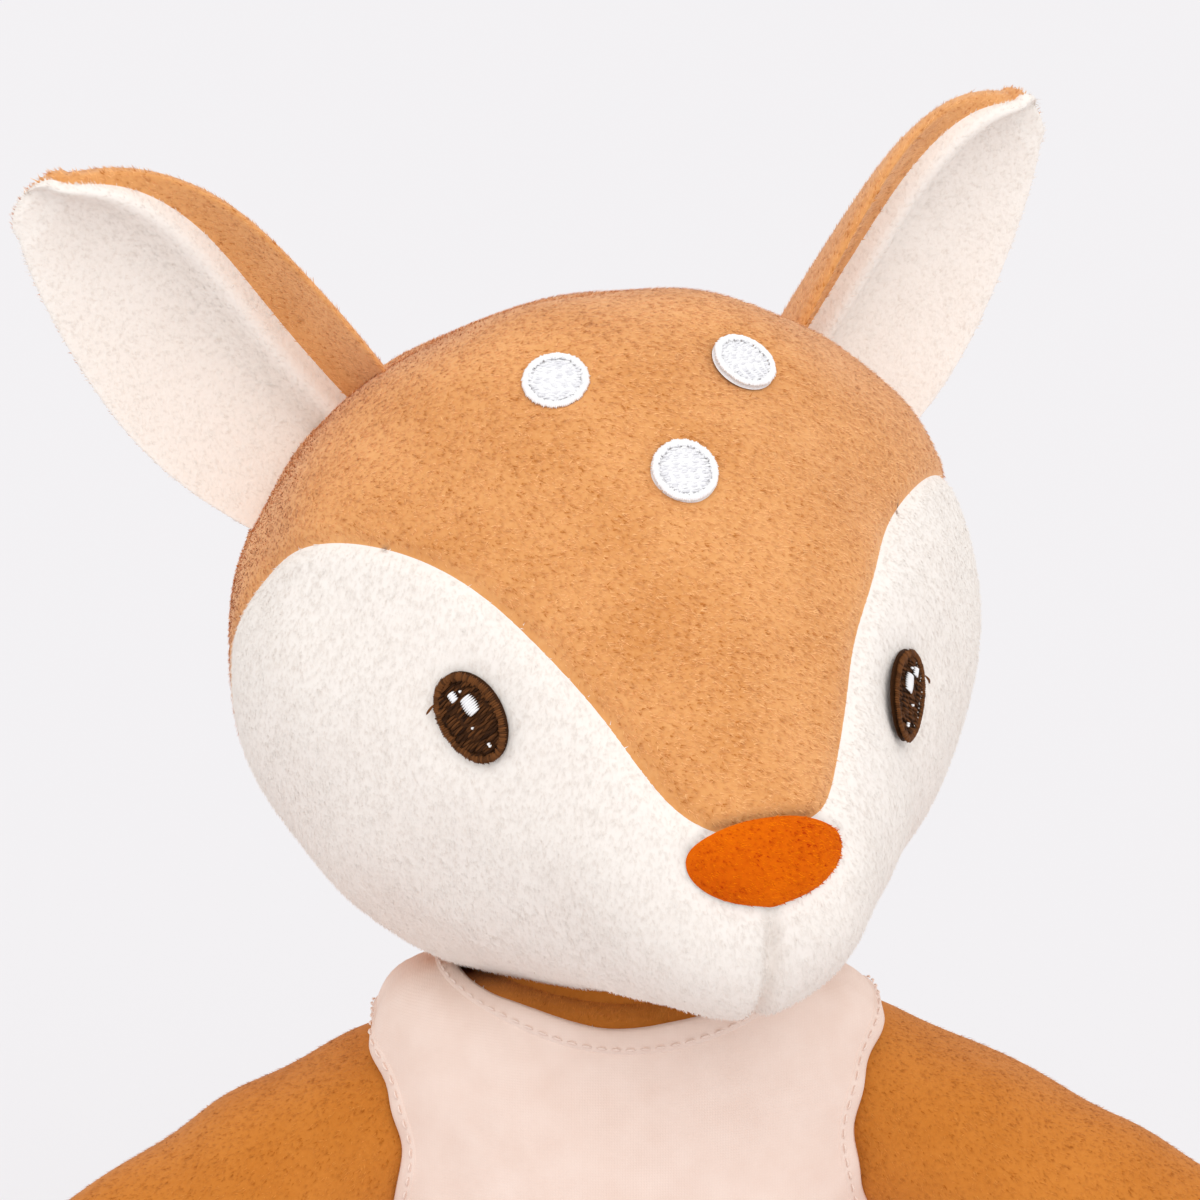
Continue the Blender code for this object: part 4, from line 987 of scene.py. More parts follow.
EYE_HALF_LENGTH = 0.0061
EYE_SLANT = np.radians(38)
EYE_FILL_SHARE = 0.93
EYE_FILL_LIFT = 0.0002
EYE_FILL_TONES = (-0.2, 0.6)
EYE_PAD_TONE = 0.0
EYE_BORDER_TONES = (0.2, 1.1)
GLINTS = (
    ((0.0012, -0.0012), 0.0012, 8),
    ((0.0034, 0.0001), 0.0007, 4),
    ((-0.0012, 0.0002), 0.0002, 1),
    ((-0.0042, -0.0004), 0.00025, 2),
    ((0.0033, -0.0012), 0.0002, 1),
)
GLINT_ROUNDNESS = 0.8
GLINT_LIFT = 0.0006
GLINT_TONES = (0.6, 1)
LASH = ((0.0043, 0.0026), (0.0040, 0.0045))
LASH_LIFT = 0.0007
LASH_TONE = 0.9
for order, (name, (place, normal)) in enumerate(EYE_SHARES.items()):
    random = np.random.default_rng(50 + order)
    normal = unit(normal)
    mirror = 1 if name == "left" else -1
    oval = (np.array(place) * HEAD_SIZES, normal, *eye_axes(normal, EYE_SLANT, mirror))
    oval_pad(
        f"eye_{name}_pad", oval, EYE_HALF_LENGTH, EYE_HALF_WIDTH, EYE_PAD_TONE, dark_thread
    )
    inner = EYE_HALF_LENGTH * EYE_FILL_SHARE, EYE_HALF_WIDTH * EYE_FILL_SHARE
    flat = satin(*inner, THREAD_PITCH, STITCH_LENGTH, random)
    tones = random.uniform(*EYE_FILL_TONES, len(flat[0]))
    stitch_on(f"eye_{name}_fill", oval, flat, EYE_FILL_LIFT, tones, dark_thread)
    flat = border(EYE_HALF_LENGTH, EYE_HALF_WIDTH, BORDER_PITCH, BORDER_LENGTH, random)
    tones = random.uniform(*EYE_BORDER_TONES, len(flat[0]))
    rim = stitch_on(f"eye_{name}_border", oval, flat, BORDER_LIFT, tones, dark_thread)
    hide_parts(f"eye_{name}")
    starts, ends = [], []
    for (along, across), size, count in GLINTS:
        offset = (np.arange(count) - (count - 1) / 2) * THREAD_PITCH
        reach = size * np.sqrt(1 - (offset / (size + THREAD_PITCH)) ** 2 * GLINT_ROUNDNESS)
        starts.append(np.stack((along + offset, across - reach), axis=1))
        ends.append(np.stack((along + offset, across + reach), axis=1))
    flat = np.concatenate(starts), np.concatenate(ends)
    tones = random.uniform(*GLINT_TONES, len(flat[0]))
    stitch_on(f"eye_{name}_glints", oval, flat, GLINT_LIFT, tones, white_thread)
    stitch_on(
        f"eye_{name}_lash", oval, np.array(LASH)[:, None], LASH_LIFT, np.array((LASH_TONE,)),
        dark_thread,
    )

# Ears: brown plush behind and cream plush inside, turned through and stuffed thinly at the rim
# so that it rolls forward round a soft hollow, and sewn into the crown seam.
EAR_LENGTH = 0.0480
EAR_HALF_WIDTH = 0.0146
EAR_CUP = 0.0095
EAR_CURL = 0.0040
EAR_CLOTH = 0.0022
EAR_RIM_HEIGHT = 0.0044
EAR_RIM_SETBACK_SHARE = 0.20
EAR_RIM_WIDTH_SHARE = 0.22
EAR_SEAM_SHARES = (0.42, 0.95)
EAR_SEAM_SPREAD = 0.09
EAR_TIP_SHARE = 0.06
EAR_STEP = 0.0007
EAR_ROOT_SHARES = (0.7266, -0.0529, 0.5610)
EAR_AXIS = (0.735, 0.16, 0.660)
EAR_FACING = (0.30, -0.92, -0.24)
EAR_LENGTH_SHARES = (-0.18, 0.10, 0.33, 0.53, 0.70, 0.85, 0.95)
EAR_WIDTH_SHARES = (0.92, 1.12, 1.18, 1.12, 0.95, 0.69, 0.38)
EAR_RISE_SHARES = (0.00, 0.06, 0.15, 0.29, 0.36, 0.36, 0.30)
EAR_STATIONS = 90
EAR_TIP_STATIONS = 9
EAR_SEAM_CURVE = 1.5
EAR_EDGE_SHARE = 0.5
EAR_LINING_DROP = 0.3
EAR_LINING_TONE = 0.45
EAR_FILL = 0.3
EAR_DENSITY = 5.0e6
ear_rings = np.stack((EAR_LENGTH_SHARES, EAR_WIDTH_SHARES, EAR_RISE_SHARES), axis=1)
ear_control = np.vstack(
    (2 * ear_rings[0] - ear_rings[1], ear_rings, 2 * ear_rings[-1] - ear_rings[-2])
)
ear_fine = spline(ear_control, np.linspace(0, len(ear_rings) - 1, EAR_STATIONS))
tip_turn = np.linspace(0, np.pi / 2, EAR_TIP_STATIONS)[1:]
tip = ear_fine[-1]
ear_tip = np.stack(
    (
        tip[0] + EAR_TIP_SHARE * np.sin(tip_turn),
        tip[1] * np.cos(tip_turn),
        tip[2] - EAR_TIP_SHARE * (1 - np.cos(tip_turn)),
    ),
    axis=1,
)
ear_fine = np.vstack(((ear_fine[0, 0], 0, 0), ear_fine, ear_tip))
ear_half_turn = round(2 * EAR_HALF_WIDTH / EAR_STEP)

# Each row of the ear's grid goes once round it, from the inner edge over the front to the seam
# inside the rim, and behind it back again. The seam's column parts the lining from the back.
for order, (side, mirror) in enumerate((("left", 1), ("right", -1))):
    along = unit(np.array(EAR_AXIS) * (mirror, 1, 1))
    facing = unit(np.array(EAR_FACING) * (mirror, 1, 1))
    facing = unit(facing - along * (facing @ along))
    across = np.cross(facing, along) * mirror
    root = np.array(EAR_ROOT_SHARES) * HEAD_SIZES * (mirror, 1, 1)
    place, width, rise = (ear_fine[:, column, None] for column in range(3))
    seam = np.clip(place, 0, 1) ** EAR_SEAM_CURVE
    seam = EAR_SEAM_SHARES[0] + np.ptp(EAR_SEAM_SHARES) * seam
    share = np.arange(ear_half_turn) / ear_half_turn
    seam_angle = np.arcsin(seam)
    inner = -np.pi / 2 + (seam_angle + np.pi / 2) * share
    outer = seam_angle + (3 * np.pi / 2 - seam_angle) * share
    angle = np.hstack((inner, outer))
    sideways = np.sin(angle)
    front = np.cos(angle)
    taper = 1 - np.clip(place, 0, 1) ** 2
    hollow = EAR_CUP * (1 - sideways**2) * taper
    curl = EAR_CURL * np.maximum(0, sideways) ** 2 * taper
    roll = np.exp(-(((sideways - seam + EAR_RIM_SETBACK_SHARE) / EAR_RIM_WIDTH_SHARE) ** 2))
    roll = roll * EAR_RIM_HEIGHT * (front > 0) * np.sqrt(np.abs(front))
    thick = EAR_CLOTH * np.sign(front) * np.sqrt(np.abs(front)) + roll
    thick = thick * np.minimum(1, width / EAR_EDGE_SHARE)
    local = (
        root
        + along * np.broadcast_to(place * EAR_LENGTH, angle.shape)[..., None]
        + across * ((width * sideways + rise) * EAR_HALF_WIDTH)[..., None]
        + facing * (curl - hollow + thick)[..., None]
    )
    ear_places = (local @ HEAD_AXES + HEAD_ORIGIN).reshape(-1, 3)
    ear_triangles = facing_out(ear_places, closed_triangles(len(ear_fine), 2 * ear_half_turn))
    groove = np.exp(-(((angle - seam_angle) / EAR_SEAM_SPREAD) ** 2)) * HEAD_SEAM_DEPTH
    ear_places = ear_places - point_normals(ear_places, ear_triangles) * groove.reshape(-1, 1)
    column = np.tile(np.arange(2 * ear_half_turn), len(ear_fine))
    column = np.sort(column[ear_triangles], axis=1)
    lining = (column[:, 2] <= ear_half_turn) | (
        (column[:, 2] == 2 * ear_half_turn - 1) & (column[:, 0] == 0) & (column[:, 1] == 0)
    )
    lining &= column[:, 2] - column[:, 0] < ear_half_turn
    for label, mask, material, tone, comb in (
        ("lining", lining, cream_plush, EAR_LINING_TONE, along - facing * EAR_LINING_DROP),
        ("back", ~lining, brown_plush, BROWN_TONE, along),
    ):
        soft_piece(
            f"ear_{label}_{side}_plush", ear_places, ear_triangles[mask], material, tone,
            EAR_FILL, f"ear_{side}", f"ear_{label}_{side}",
        )
        add_pile(
            f"ear_{label}_{side}_pile", (ear_places, ear_triangles[mask]), EAR_DENSITY,
            comb @ HEAD_AXES, material, f"ear_{side}", 60 + order,
        )

# Romper: two panels of pale pink cotton with short side and shoulder seams, hemmed openings
# and topstitching, closed behind with two buttons. It fits the stuffed body closely.
ROMPER = ((0.83, 0.64, 0.55), (0.93, 0.77, 0.69))
ROMPER_STEP = 0.0010
ROMPER_SEAM_SETBACK = 0.004
SEAT_SEAM_START = 0.012
NECKLINE = ((0.0, -0.0030, 0.1310), 0.0244)
ARM_ROOT_RADIUS = 0.0158
LEG_ROOT_RADIUS = 0.0178
OPENING_EASE = 0.0005
SHOULDERS = {"left": (0.0320, 0.0010, 0.1030), "right": (-0.0320, 0.0010, 0.1000)}
HIPS = {"left": (0.0240, -0.0270, 0.0214), "right": (-0.0240, -0.0270, 0.0214)}
LEG_OPENING_AXIS = (0.3, -1, -0.1)
HEM_WIDTH = 0.0022
HEM_HEIGHT = 0.0004
YARNS = {"Scale": 900, "Distortion": 1.5}
COTTON_CLOUDS = {"Scale": 220, "Detail": 4}
WEAVE_SHARE = 0.15


def weave_group():
    """Cotton: two crossing sets of yarns as colour and height, with soft unevenness."""
    group = new_group("cotton_weave")
    weave = group.nodes.new("ShaderNodeMath")
    weave.operation = "MULTIPLY"
    for direction, socket in zip("XZ", weave.inputs):
        yarns = texture(group, "ShaderNodeTexWave", YARNS)
        yarns.bands_direction = direction
        group.links.new(yarns.outputs["Fac"], socket)
    cloud = texture(group, "ShaderNodeTexNoise", COTTON_CLOUDS)
    shade = weighted(group, weave.outputs[0], WEAVE_SHARE, cloud.outputs["Fac"])
    return finish_group(group, shade, weave.outputs[0])


COTTON_GROUP = weave_group()
cotton = cloth_material("romper_cotton", COTTON_GROUP, ROMPER, roughness=0.9, bump=0.1)
romper_rings = torso_rings(ROMPER_EASE + ROMPER_CLOTH)
romper_rows = even_rows(romper_rings, ROMPER_STEP)
romper_grid = round_form(romper_rows, ROMPER_STEP, UPRIGHT, (0, 0, 0))
romper_triangles = closed_triangles(*romper_grid.shape[:2])
romper_places = romper_grid.reshape(-1, 3)
romper_triangles = facing_out(romper_places, romper_triangles)
openings = {"neckline": (np.array(NECKLINE[0]), NECKLINE[1], (0, 0, 1))}
for side, mirror in (("left", 1), ("right", -1)):
    openings[f"armhole_{side}"] = (
        np.array(SHOULDERS[side]), ARM_ROOT_RADIUS + OPENING_EASE, (mirror, 0, 0)
    )
    openings[f"leg_opening_{side}"] = (
        np.array(HIPS[side]), LEG_ROOT_RADIUS + OPENING_EASE,
        unit(np.array(LEG_OPENING_AXIS) * (mirror, 1, 1)),
    )
middles = romper_places[romper_triangles].mean(axis=1)
kept = np.ones(len(romper_triangles), dtype=bool)
for centre, radius, _ in openings.values():
    kept &= np.linalg.norm(middles - centre, axis=1) > radius
for centre, radius, _ in openings.values():
    gone = np.linalg.norm(middles - centre, axis=1) <= radius
    edge = np.intersect1d(romper_triangles[kept], romper_triangles[gone])
    out = romper_places[edge] - centre
    out /= np.linalg.norm(out, axis=1, keepdims=True)
    romper_places[edge] = centre + out * radius
front_side = middles[:, 1] < ROMPER_SEAM_SETBACK
edge = np.intersect1d(romper_triangles[kept & front_side], romper_triangles[kept & ~front_side])
edge = edge[np.linalg.norm(romper_places[edge, :2], axis=1) > SEAT_SEAM_START]
romper_places[edge, 1] = ROMPER_SEAM_SETBACK
romper_normals = point_normals(romper_places, romper_triangles)
WRINKLE_SIZE = 0.016
WRINKLE_DEPTH = 0.00030
WRINKLE_HEIGHT_SHARE = 0.45
CREASE_SIZE = 0.007
CREASE_SHARE = 0.2
PINCH_COUNT = 9
PINCH_DEPTH = 0.00030
PINCH_REACH = 0.0070
PINCH_START = (0.3, 0.5, 0.8)
ROMPER_SEAM_DEPTH = 0.0005
ROMPER_SEAM_WIDTH = 0.0008


def opening_axes(axis):
    """Two directions square to an opening's axis and to each other."""
    first = unit(np.cross(axis, PINCH_START))
    return first, np.cross(axis, first)


def wrinkles(places):
    """The romper's relief: long soft waves, folds that fan out from each opening as
    sin(9 a) exp(-distance / reach), and a groove along the side and shoulder seams."""
    relief = waves(places * (1, 1, WRINKLE_HEIGHT_SHARE), WRINKLE_SIZE, 5) * WRINKLE_DEPTH
    relief += waves(places, CREASE_SIZE, 6) * WRINKLE_DEPTH * CREASE_SHARE
    for centre, radius, axis in openings.values():
        out = places - centre
        away = np.linalg.norm(out, axis=1) - radius
        first, second = opening_axes(axis)
        around = np.arctan2(out @ second, out @ first)
        fold = np.sin(PINCH_COUNT * around + np.sin(2 * around))
        relief += PINCH_DEPTH * fold * np.exp(-np.abs(away) / PINCH_REACH)
    seam = np.abs(places[:, 1] - ROMPER_SEAM_SETBACK)
    return relief - ROMPER_SEAM_DEPTH * np.exp(-((seam / ROMPER_SEAM_WIDTH) ** 2))


romper_skin = romper_places + romper_normals * wrinkles(romper_places)[:, None]
romper_skin[:, 2] = np.maximum(romper_skin[:, 2], 0)
for name, mask in (("front", kept & front_side), ("back", kept & ~front_side)):
    panel = add_mesh(f"romper_{name}_panel", romper_skin, romper_triangles[mask], cotton)
    cloth = panel.modifiers.new("Cloth", "SOLIDIFY")
    cloth.thickness = ROMPER_CLOTH
    cloth.offset = -1
    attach(panel, "torso")
    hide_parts(f"romper_{name}")


HEM_POINTS = 180
HEM_PROFILE_SHARES = (
    (-0.20, -1.2), (-0.30, 0.1), (-0.04, 0.9), (0.25, 1.0), (0.6, 0.9), (0.9, 0.6), (1.0, -0.8)
)
NUDGE = 0.0002
NECKLINE_COMB = (0.2, 0.5, 1)
TOPSTITCH_PLACE_SHARE = 0.75
TOPSTITCH_PITCH = 0.0021
TOPSTITCH_SHARE = 0.7
TOPSTITCH_TONE = 0.6


def opening_line(centre, radius, axis):
    """The closed line where a ball meets the romper, found along the ball's great circles."""
    first, second = opening_axes(axis)
    angle = (2 * np.pi * np.arange(HEM_POINTS) / HEM_POINTS)[:, None]
    flat = first * np.cos(angle) + second * np.sin(angle)
    return first_inside(
        romper_rows, np.zeros(3), UPRIGHT,
        lambda turn: centre + (np.array(axis) * np.cos(turn) + flat * np.sin(turn)) * radius,
        HEM_POINTS, np.pi,
    )


def surface_out(points):
    """The romper's outward direction at points near it, from how its depth changes."""
    local = points @ np.array(UPRIGHT).T
    steps = [
        depth_in(romper_rows, local + nudge) - depth_in(romper_rows, local - nudge)
        for nudge in np.eye(3) * NUDGE
    ]
    out = -np.stack(steps, axis=1) @ np.array(UPRIGHT)
    return out / np.maximum(np.linalg.norm(out, axis=1, keepdims=True), TINY)


torso_places, torso_triangles = torso
in_neckline = np.linalg.norm(
    torso_places[torso_triangles].mean(axis=1) - np.array(NECKLINE[0]), axis=1
) < NECKLINE[1] - HEM_WIDTH
# The pile inside the neckline is the shaded copy of the caramel plush: painted shade.
add_pile(
    "neckline_pile", (torso_places, torso_triangles[in_neckline]), CROWN_DENSITY,
    NECKLINE_COMB, shaded_plush, "torso", 90,
)
romper_thread = cloth_material(
    "romper_thread", THREAD_GROUP, ROMPER, roughness=0.5, bump=0.3
)
for name, (centre, radius, axis) in openings.items():
    # The hem is a band of rows round the opening, from its inner lip to its stitched edge.
    hem = []
    for away, height in np.array(HEM_PROFILE_SHARES) * (HEM_WIDTH, HEM_HEIGHT):
        line = opening_line(centre, radius + away, axis)
        out = surface_out(line)
        hem.append(line + out * (height + wrinkles(line)[:, None]))
    places = np.concatenate(hem)
    triangles = grid_triangles(np.arange(len(places)).reshape(len(hem), HEM_POINTS))
    triangles = turned_to(places, triangles, np.tile(out, (len(hem), 1)))
    band = add_mesh(f"{name}_hem", places, triangles, cotton)
    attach(band, "torso")
    count = round(np.linalg.norm(np.diff(line, axis=0), axis=1).sum() / TOPSTITCH_PITCH)
    marks = np.linspace(0, HEM_POINTS, count, endpoint=False)
    top = opening_line(centre, radius + HEM_WIDTH * TOPSTITCH_PLACE_SHARE, axis)
    top = top + surface_out(top) * (HEM_HEIGHT + wrinkles(top)[:, None])
    wrapped = np.vstack((top, top[:1]))
    starts, ends = (
        np.stack(
            [np.interp(along, np.arange(len(wrapped)), column) for column in wrapped.T], axis=1
        )
        for along in (marks, marks + HEM_POINTS / count * TOPSTITCH_SHARE)
    )
    tones = np.full(count, TOPSTITCH_TONE)
    add_threads(
        f"{name}_topstitch", starts, ends, surface_out(starts), tones, romper_thread, "torso"
    )

# Buttons: two four-hole resin buttons on the back placket, dished, with a rounded rim, sewn
# on with crossed thread.
BUTTON_RADIUS = 0.0038
BUTTON_THICKNESS = 0.0016
BUTTON_HOLE_RADIUS = 0.00045
BUTTON_HOLE_PLACE = 0.00095
BUTTON_HOLE_SHARES = ((1, 1), (1, -1), (-1, 1), (-1, -1))
BUTTON_HOLE_DEPTH_SHARE = 0.45
BUTTON_HOLE_SHARPNESS = 6
BUTTON_DISH_SHARE = 0.62
BUTTON_STEP = 0.00012
BUTTON_TURNS = 96
BUTTON_HEIGHTS = {"upper": 0.0985, "lower": 0.0795}
BUTTON_PROFILE_SHARES = (
    (0.00, 0.62), (0.45, 0.62), (0.66, 0.66), (0.78, 0.90), (0.88, 1.00), (0.96, 0.90),
    (1.00, 0.60), (1.00, 0.30), (0.92, 0.04), (0.70, 0.00), (0.00, 0.00),
)
BUTTON_STITCH_SHARES = ((1, 1), (1, -1), (0.8, 1), (0.8, -1))
BUTTON_THREAD_TONE = 0.8
RESIN = ((0.70, 0.56, 0.47), (0.86, 0.74, 0.65))
RESIN_SPECULAR = 0.5
resin = cloth_material("button_resin", COTTON_GROUP, RESIN, roughness=0.3, bump=0.02)
resin_shader = resin.node_tree.nodes["Principled BSDF"]
resin_shader.inputs["Specular IOR Level"].default_value = RESIN_SPECULAR
button_line = np.array(BUTTON_PROFILE_SHARES) * (BUTTON_RADIUS, BUTTON_THICKNESS)
button_walk = np.concatenate(
    ([0], np.cumsum(np.linalg.norm(np.diff(button_line, axis=0), axis=1)))
)
button_even = np.linspace(0, button_walk[-1], round(button_walk[-1] / BUTTON_STEP))
button_fine = np.stack(
    [np.interp(button_even, button_walk, column) for column in button_line.T], axis=1
)
button_angle = 2 * np.pi * np.arange(BUTTON_TURNS) / BUTTON_TURNS
button_round = np.stack((np.cos(button_angle), np.sin(button_angle)), axis=-1)
button_flat = button_fine[:, :1, None] * button_round
button_level = np.broadcast_to(button_fine[:, 1:], button_flat.shape[:2]).copy()
for hole in np.array(BUTTON_HOLE_SHARES) * BUTTON_HOLE_PLACE:
    away = np.linalg.norm(button_flat - hole, axis=-1)
    sunk = np.exp(-((away / BUTTON_HOLE_RADIUS) ** BUTTON_HOLE_SHARPNESS))
    sunk *= BUTTON_THICKNESS * BUTTON_HOLE_DEPTH_SHARE
    button_level -= np.where(button_level > BUTTON_THICKNESS / 2, sunk, 0)
button_local = np.concatenate((button_flat, button_level[..., None]), axis=-1)
button_stitches = np.array(BUTTON_STITCH_SHARES) * BUTTON_HOLE_PLACE
button_top = np.full((len(button_stitches), 1), BUTTON_THICKNESS * BUTTON_DISH_SHARE)
for name, height in BUTTON_HEIGHTS.items():
    start = np.array(((0, TORSO_HALF_DEPTH * 2, height),))
    seat = meet(romper_rows, np.zeros(3), UPRIGHT, start, start * (1, 0, 1))
    out = surface_out(seat)[0]
    across = np.array((1.0, 0.0, 0.0))
    axes = np.array((across, np.cross(out, across), out))
    place = seat[0] + out * SEAM_GAP
    places = (button_local @ axes + place).reshape(-1, 3)
    triangles = facing_out(places, closed_triangles(len(button_fine), BUTTON_TURNS))
    button = add_mesh(f"back_button_{name}_resin", places, triangles, resin)
    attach(button, "torso")
    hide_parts(f"back_button_{name}")
    starts, ends = (
        np.hstack((button_stitches * way, button_top)) @ axes + place for way in (1, -1)
    )
    add_threads(
        f"back_button_{name}_thread", starts, ends, np.tile(out, (len(starts), 1)),
        np.full(len(starts), BUTTON_THREAD_TONE), romper_thread, "torso",
    )

# Arms and legs: brown plush tubes stuffed with fibre, with a cream hoof sewn on the end. Each is
# sewn to the body at its opening in the romper. Its root is round, so that it can turn there.
LIMB_ROOT_SHARES = ((-0.86, 0.48), (-0.50, 0.92))
ARM_LENGTH = 0.0880
ARM_RING_SHARES = (
    (0.040, 0.92, 0.92, 0.00),
    (0.260, 0.99, 1.00, 0.00),
    (0.720, 0.72, 0.75, 0.00),
    (0.930, 0.84, 0.86, 0.00),
    (1.000, 0.50, 0.52, 0.00),
)
ARM_DROPS = {"left": np.radians(26), "right": np.radians(29)}
ARM_FORWARD = np.radians(8)
ARM_HOOF_SHARE = 0.784
LEG_LENGTH = 0.0920
LEG_RING_SHARES = (
    (0.045, 0.98, 0.98, 0.00),
    (0.280, 0.97, 0.99, 0.00),
    (0.700, 0.76, 0.84, 0.00),
    (0.900, 0.92, 1.05, 0.15),
    (1.000, 0.52, 0.62, 0.22),
)
LEG_DROP = np.radians(4.4)
LEG_SPLAY = np.radians(20)
LEG_HOOF_SHARE = 0.75
LIMB_LUMP_SIZE = 0.020
LIMB_LUMP_DEPTH = 0.0005
LIMB_SEAM_DEPTH = 0.0006
HOOF_SEAM_SHARE = 1.5
UNDER_SEAM_SHARE = 0.35
LIMB_LOWEST = 0.0003
LIMB_FILL = 0.7
LIMB_COMB_DROP = 0.4
LIMB_DENSITY = 4.0e6
LIMB_PILE_START_SHARE = 0.2


def limb_rings(shares, length, radius, growth):
    """A limb's rings along its own axis from its root to its hoof's end."""
    rings = [
        (place * (radius + growth), 0, width * (radius + growth), width * (radius + growth))
        for place, width in LIMB_ROOT_SHARES
    ]
    for place, width, height, lift in shares:
        rings.append(
            (place * length, lift * radius, width * radius + growth, height * radius + growth)
        )
    return np.array(rings)


for order, (side, mirror) in enumerate((("left", 1), ("right", -1))):
    drop = ARM_DROPS[side]
    arm = (
        mirror * np.cos(drop) * np.cos(ARM_FORWARD),
        -np.cos(drop) * np.sin(ARM_FORWARD),
        -np.sin(drop),
    )
    leg = (
        mirror * np.cos(LEG_DROP) * np.sin(LEG_SPLAY),
        -np.cos(LEG_DROP) * np.cos(LEG_SPLAY),
        -np.sin(LEG_DROP),
    )
    for kind, along, origin, shares, length, radius, hoof_share in (
        ("arm", arm, SHOULDERS[side], ARM_RING_SHARES, ARM_LENGTH, ARM_ROOT_RADIUS,
         ARM_HOOF_SHARE),
        ("leg", leg, HIPS[side], LEG_RING_SHARES, LEG_LENGTH, LEG_ROOT_RADIUS, LEG_HOOF_SHARE),
    ):
        along = unit(along)
        up = unit(np.array((0, 0, 1)) - along * along[2])
        axes = np.array((along, np.cross(up, along), up))
        origin = np.array(origin)
        rows = even_rows(limb_rings(shares, length, radius, 0.0), SKIN_STEP)
        grid = round_form(rows, SKIN_STEP, axes, origin)
        places = grid.reshape(-1, 3)
        triangles = facing_out(places, closed_triangles(*grid.shape[:2]))
        local = (places - origin) @ axes.T
        normals = point_normals(places, triangles)
        hoof_seam = np.abs(local[:, 0] - hoof_share * length)
        under = np.abs(local[:, 1] - radius * UNDER_SEAM_SHARE)
        under = np.where(local[:, 2] < 0, under, FAR)
        shift = waves(places, LIMB_LUMP_SIZE, 7 + order) * LIMB_LUMP_DEPTH
        for distance, share in ((hoof_seam, HOOF_SEAM_SHARE), (under, 1)):
            shift -= LIMB_SEAM_DEPTH * share * np.exp(-((distance / HEAD_SEAM_WIDTH) ** 2))
        places = places + normals * shift[:, None]
        places[:, 2] = np.maximum(places[:, 2], LIMB_LOWEST)
        middle_along = local[triangles].mean(axis=1)[:, 0]
        hoof = middle_along > hoof_share * length
        piled = (middle_along > -radius * LIMB_PILE_START_SHARE) & (
            places[triangles].mean(axis=1)[:, 2] > PILE_LENGTH / 2
        )
        # The limb's cover is the shaded copy of the caramel plush: painted shade.
        for label, mask, material, tone in (
            ("cover", ~hoof, shaded_plush, BROWN_TONE),
            ("hoof", hoof, cream_plush, CREAM_TONE),
        ):
            soft_piece(
                f"{kind}_{label}_{side}_plush", places, triangles[mask], material, tone,
                LIMB_FILL, f"{kind}_{side}", f"{kind}_{label}_{side}",
            )
            add_pile(
                f"{kind}_{label}_{side}_pile", (places, triangles[mask & piled]), LIMB_DENSITY,
                along - up * LIMB_COMB_DROP, material, f"{kind}_{side}", 70 + order,
            )
        stuffed(
            f"{kind}_fill_{side}", limb_rings(shares, length, radius, fill_growth),
            LINING_STEP, axes, origin, fibre, FIBRE_TONE, f"{kind}_{side}",
            f"{kind}_stuffing_{side}",
        )

# Tail: a small flat leaf, brown plush on top and cream plush beneath, seamed round its edge and
# lightly stuffed. Its root is sewn to the body through the romper's back.
TAIL_LENGTH = 0.0300
TAIL_HALF_WIDTH = 0.0100
TAIL_HALF_THICKNESS = 0.0042
TAIL_ROOT = (0.0, 0.0378, 0.0330)
TAIL_RISE = np.radians(40)
TAIL_START = 0.0010
TAIL_SEAM_DEPTH = 0.0004
TAIL_SEAM_WIDTH = 0.0006
TAIL_FILL = 0.5
TAIL_RING_SHARES = (
    (0.00, 0.42, 0.60),
    (0.10, 0.72, 0.92),
    (0.45, 1.10, 1.08),
    (0.80, 0.72, 0.80),
    (1.00, 0.16, 0.24),
)
tail_along = np.array((0, np.cos(TAIL_RISE), np.sin(TAIL_RISE)))
tail_up = np.array((0, -np.sin(TAIL_RISE), np.cos(TAIL_RISE)))
tail_axes = np.array((tail_along, np.cross(tail_up, tail_along), tail_up))
tail_rings = [
    (TAIL_START + place * TAIL_LENGTH, 0, width * TAIL_HALF_WIDTH, height * TAIL_HALF_THICKNESS)
    for place, width, height in TAIL_RING_SHARES
]
tail_grid = round_form(even_rows(tail_rings, SKIN_STEP), SKIN_STEP, tail_axes, TAIL_ROOT)
tail_places = tail_grid.reshape(-1, 3)
tail_triangles = facing_out(tail_places, closed_triangles(*tail_grid.shape[:2]))
tail_local = (tail_places - np.array(TAIL_ROOT)) @ tail_axes.T
tail_groove = TAIL_SEAM_DEPTH * np.exp(-((tail_local[:, 2:] / TAIL_SEAM_WIDTH) ** 2))
tail_places = tail_places - point_normals(tail_places, tail_triangles) * tail_groove
tail_over = tail_local[tail_triangles].mean(axis=1)[:, 2] > 0
for name, mask, material, tone in (
    ("top", tail_over, brown_plush, BROWN_TONE),
    ("underside", ~tail_over, cream_plush, CREAM_TONE),
):
    soft_piece(
        f"tail_{name}_plush", tail_places, tail_triangles[mask], material, tone, TAIL_FILL,
        "tail", f"tail_{name}",
    )
    add_pile(
        f"tail_{name}_pile", (tail_places, tail_triangles[mask]), LIMB_DENSITY, tail_along,
        material, "tail", 80,
    )

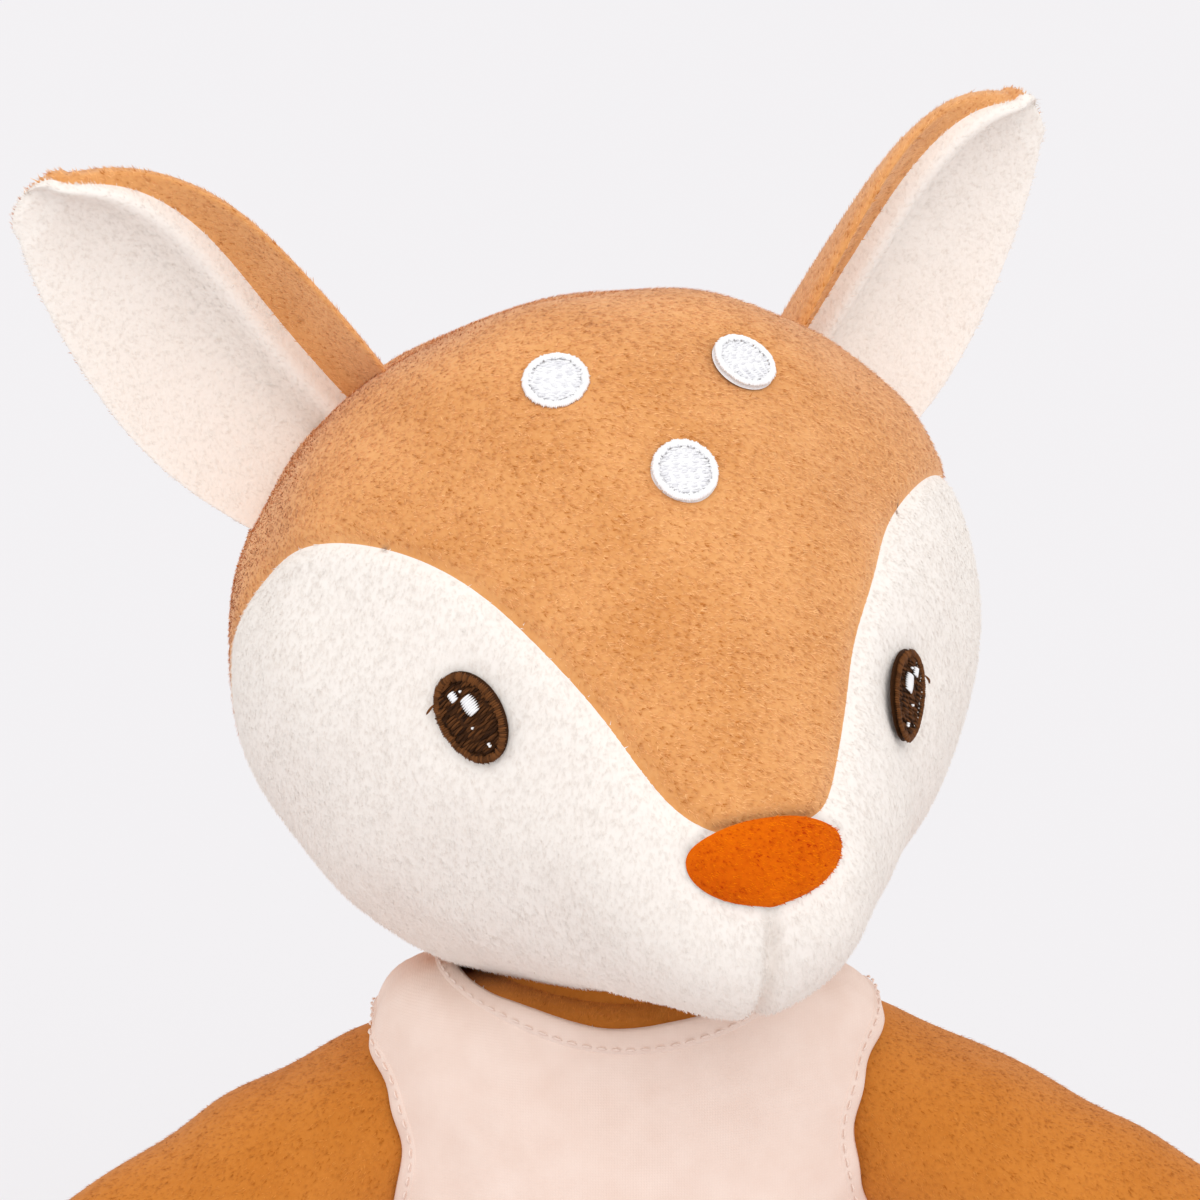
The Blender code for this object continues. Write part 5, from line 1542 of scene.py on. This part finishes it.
# Stage: a pale seamless floor under one broad soft key light and an even sky, and a camera
# where the photograph was taken from.
BACKGROUND = (0.896, 0.888, 0.913)
FLOOR = (0.822, 0.814, 0.838)
CAMERA_PLACE = (-0.003698, -0.594232, 0.267561)
CAMERA_PITCH = np.radians(9.03)
FOCAL_SHARE = 4515.127 / 1200
SENSOR = 36.0
FLOOR_HALF = 30.0
SKY = (1.0, 0.99, 0.98)
SKY_STRENGTH = 0.92
KEY_STRENGTH = 0.85
KEY_ANGLE = np.radians(50)
KEY_TURN = (np.radians(50), 0.0, np.radians(8))

corners = np.array(((-1, -1, 0), (1, -1, 0), (1, 1, 0), (-1, 1, 0)), dtype=float) * FLOOR_HALF
backdrop = bpy.data.materials.new("backdrop")
backdrop.use_nodes = True
backdrop_shader = backdrop.node_tree.nodes["Principled BSDF"]
backdrop_shader.inputs["Base Color"].default_value = (*FLOOR, 1)
backdrop_shader.inputs["Roughness"].default_value = 1.0
backdrop_shader.inputs["Specular IOR Level"].default_value = 0.0
floor = add_mesh("floor", corners, np.array(((0, 1, 2), (0, 2, 3))), backdrop)

world = bpy.data.worlds.new("studio")
world.use_nodes = True
bpy.context.scene.world = world
tree = world.node_tree
sky = tree.nodes["Background"]
sky.inputs["Color"].default_value = (*SKY, 1)
sky.inputs["Strength"].default_value = SKY_STRENGTH
seen = tree.nodes.new("ShaderNodeBackground")
seen.inputs["Color"].default_value = (*BACKGROUND, 1)
seen.inputs["Strength"].default_value = 1.0
path = tree.nodes.new("ShaderNodeLightPath")
mix = tree.nodes.new("ShaderNodeMixShader")
tree.links.new(path.outputs["Is Camera Ray"], mix.inputs["Fac"])
tree.links.new(sky.outputs["Background"], mix.inputs[1])
tree.links.new(seen.outputs["Background"], mix.inputs[2])
tree.links.new(mix.outputs["Shader"], tree.nodes["World Output"].inputs["Surface"])

key_data = bpy.data.lights.new("key", "SUN")
key_data.energy = KEY_STRENGTH
key_data.angle = KEY_ANGLE
key = bpy.data.objects.new("key", key_data)
key.rotation_euler = KEY_TURN
bpy.context.scene.collection.objects.link(key)

camera_data = bpy.data.cameras.new("camera")
camera_data.sensor_width = SENSOR
camera_data.lens = FOCAL_SHARE * SENSOR
camera = bpy.data.objects.new("camera", camera_data)
camera.location = CAMERA_PLACE
camera.rotation_euler = (np.pi / 2 - CAMERA_PITCH, 0, 0)
bpy.context.scene.collection.objects.link(camera)
bpy.context.scene.camera = camera
bpy.context.scene.view_settings.view_transform = "Standard"
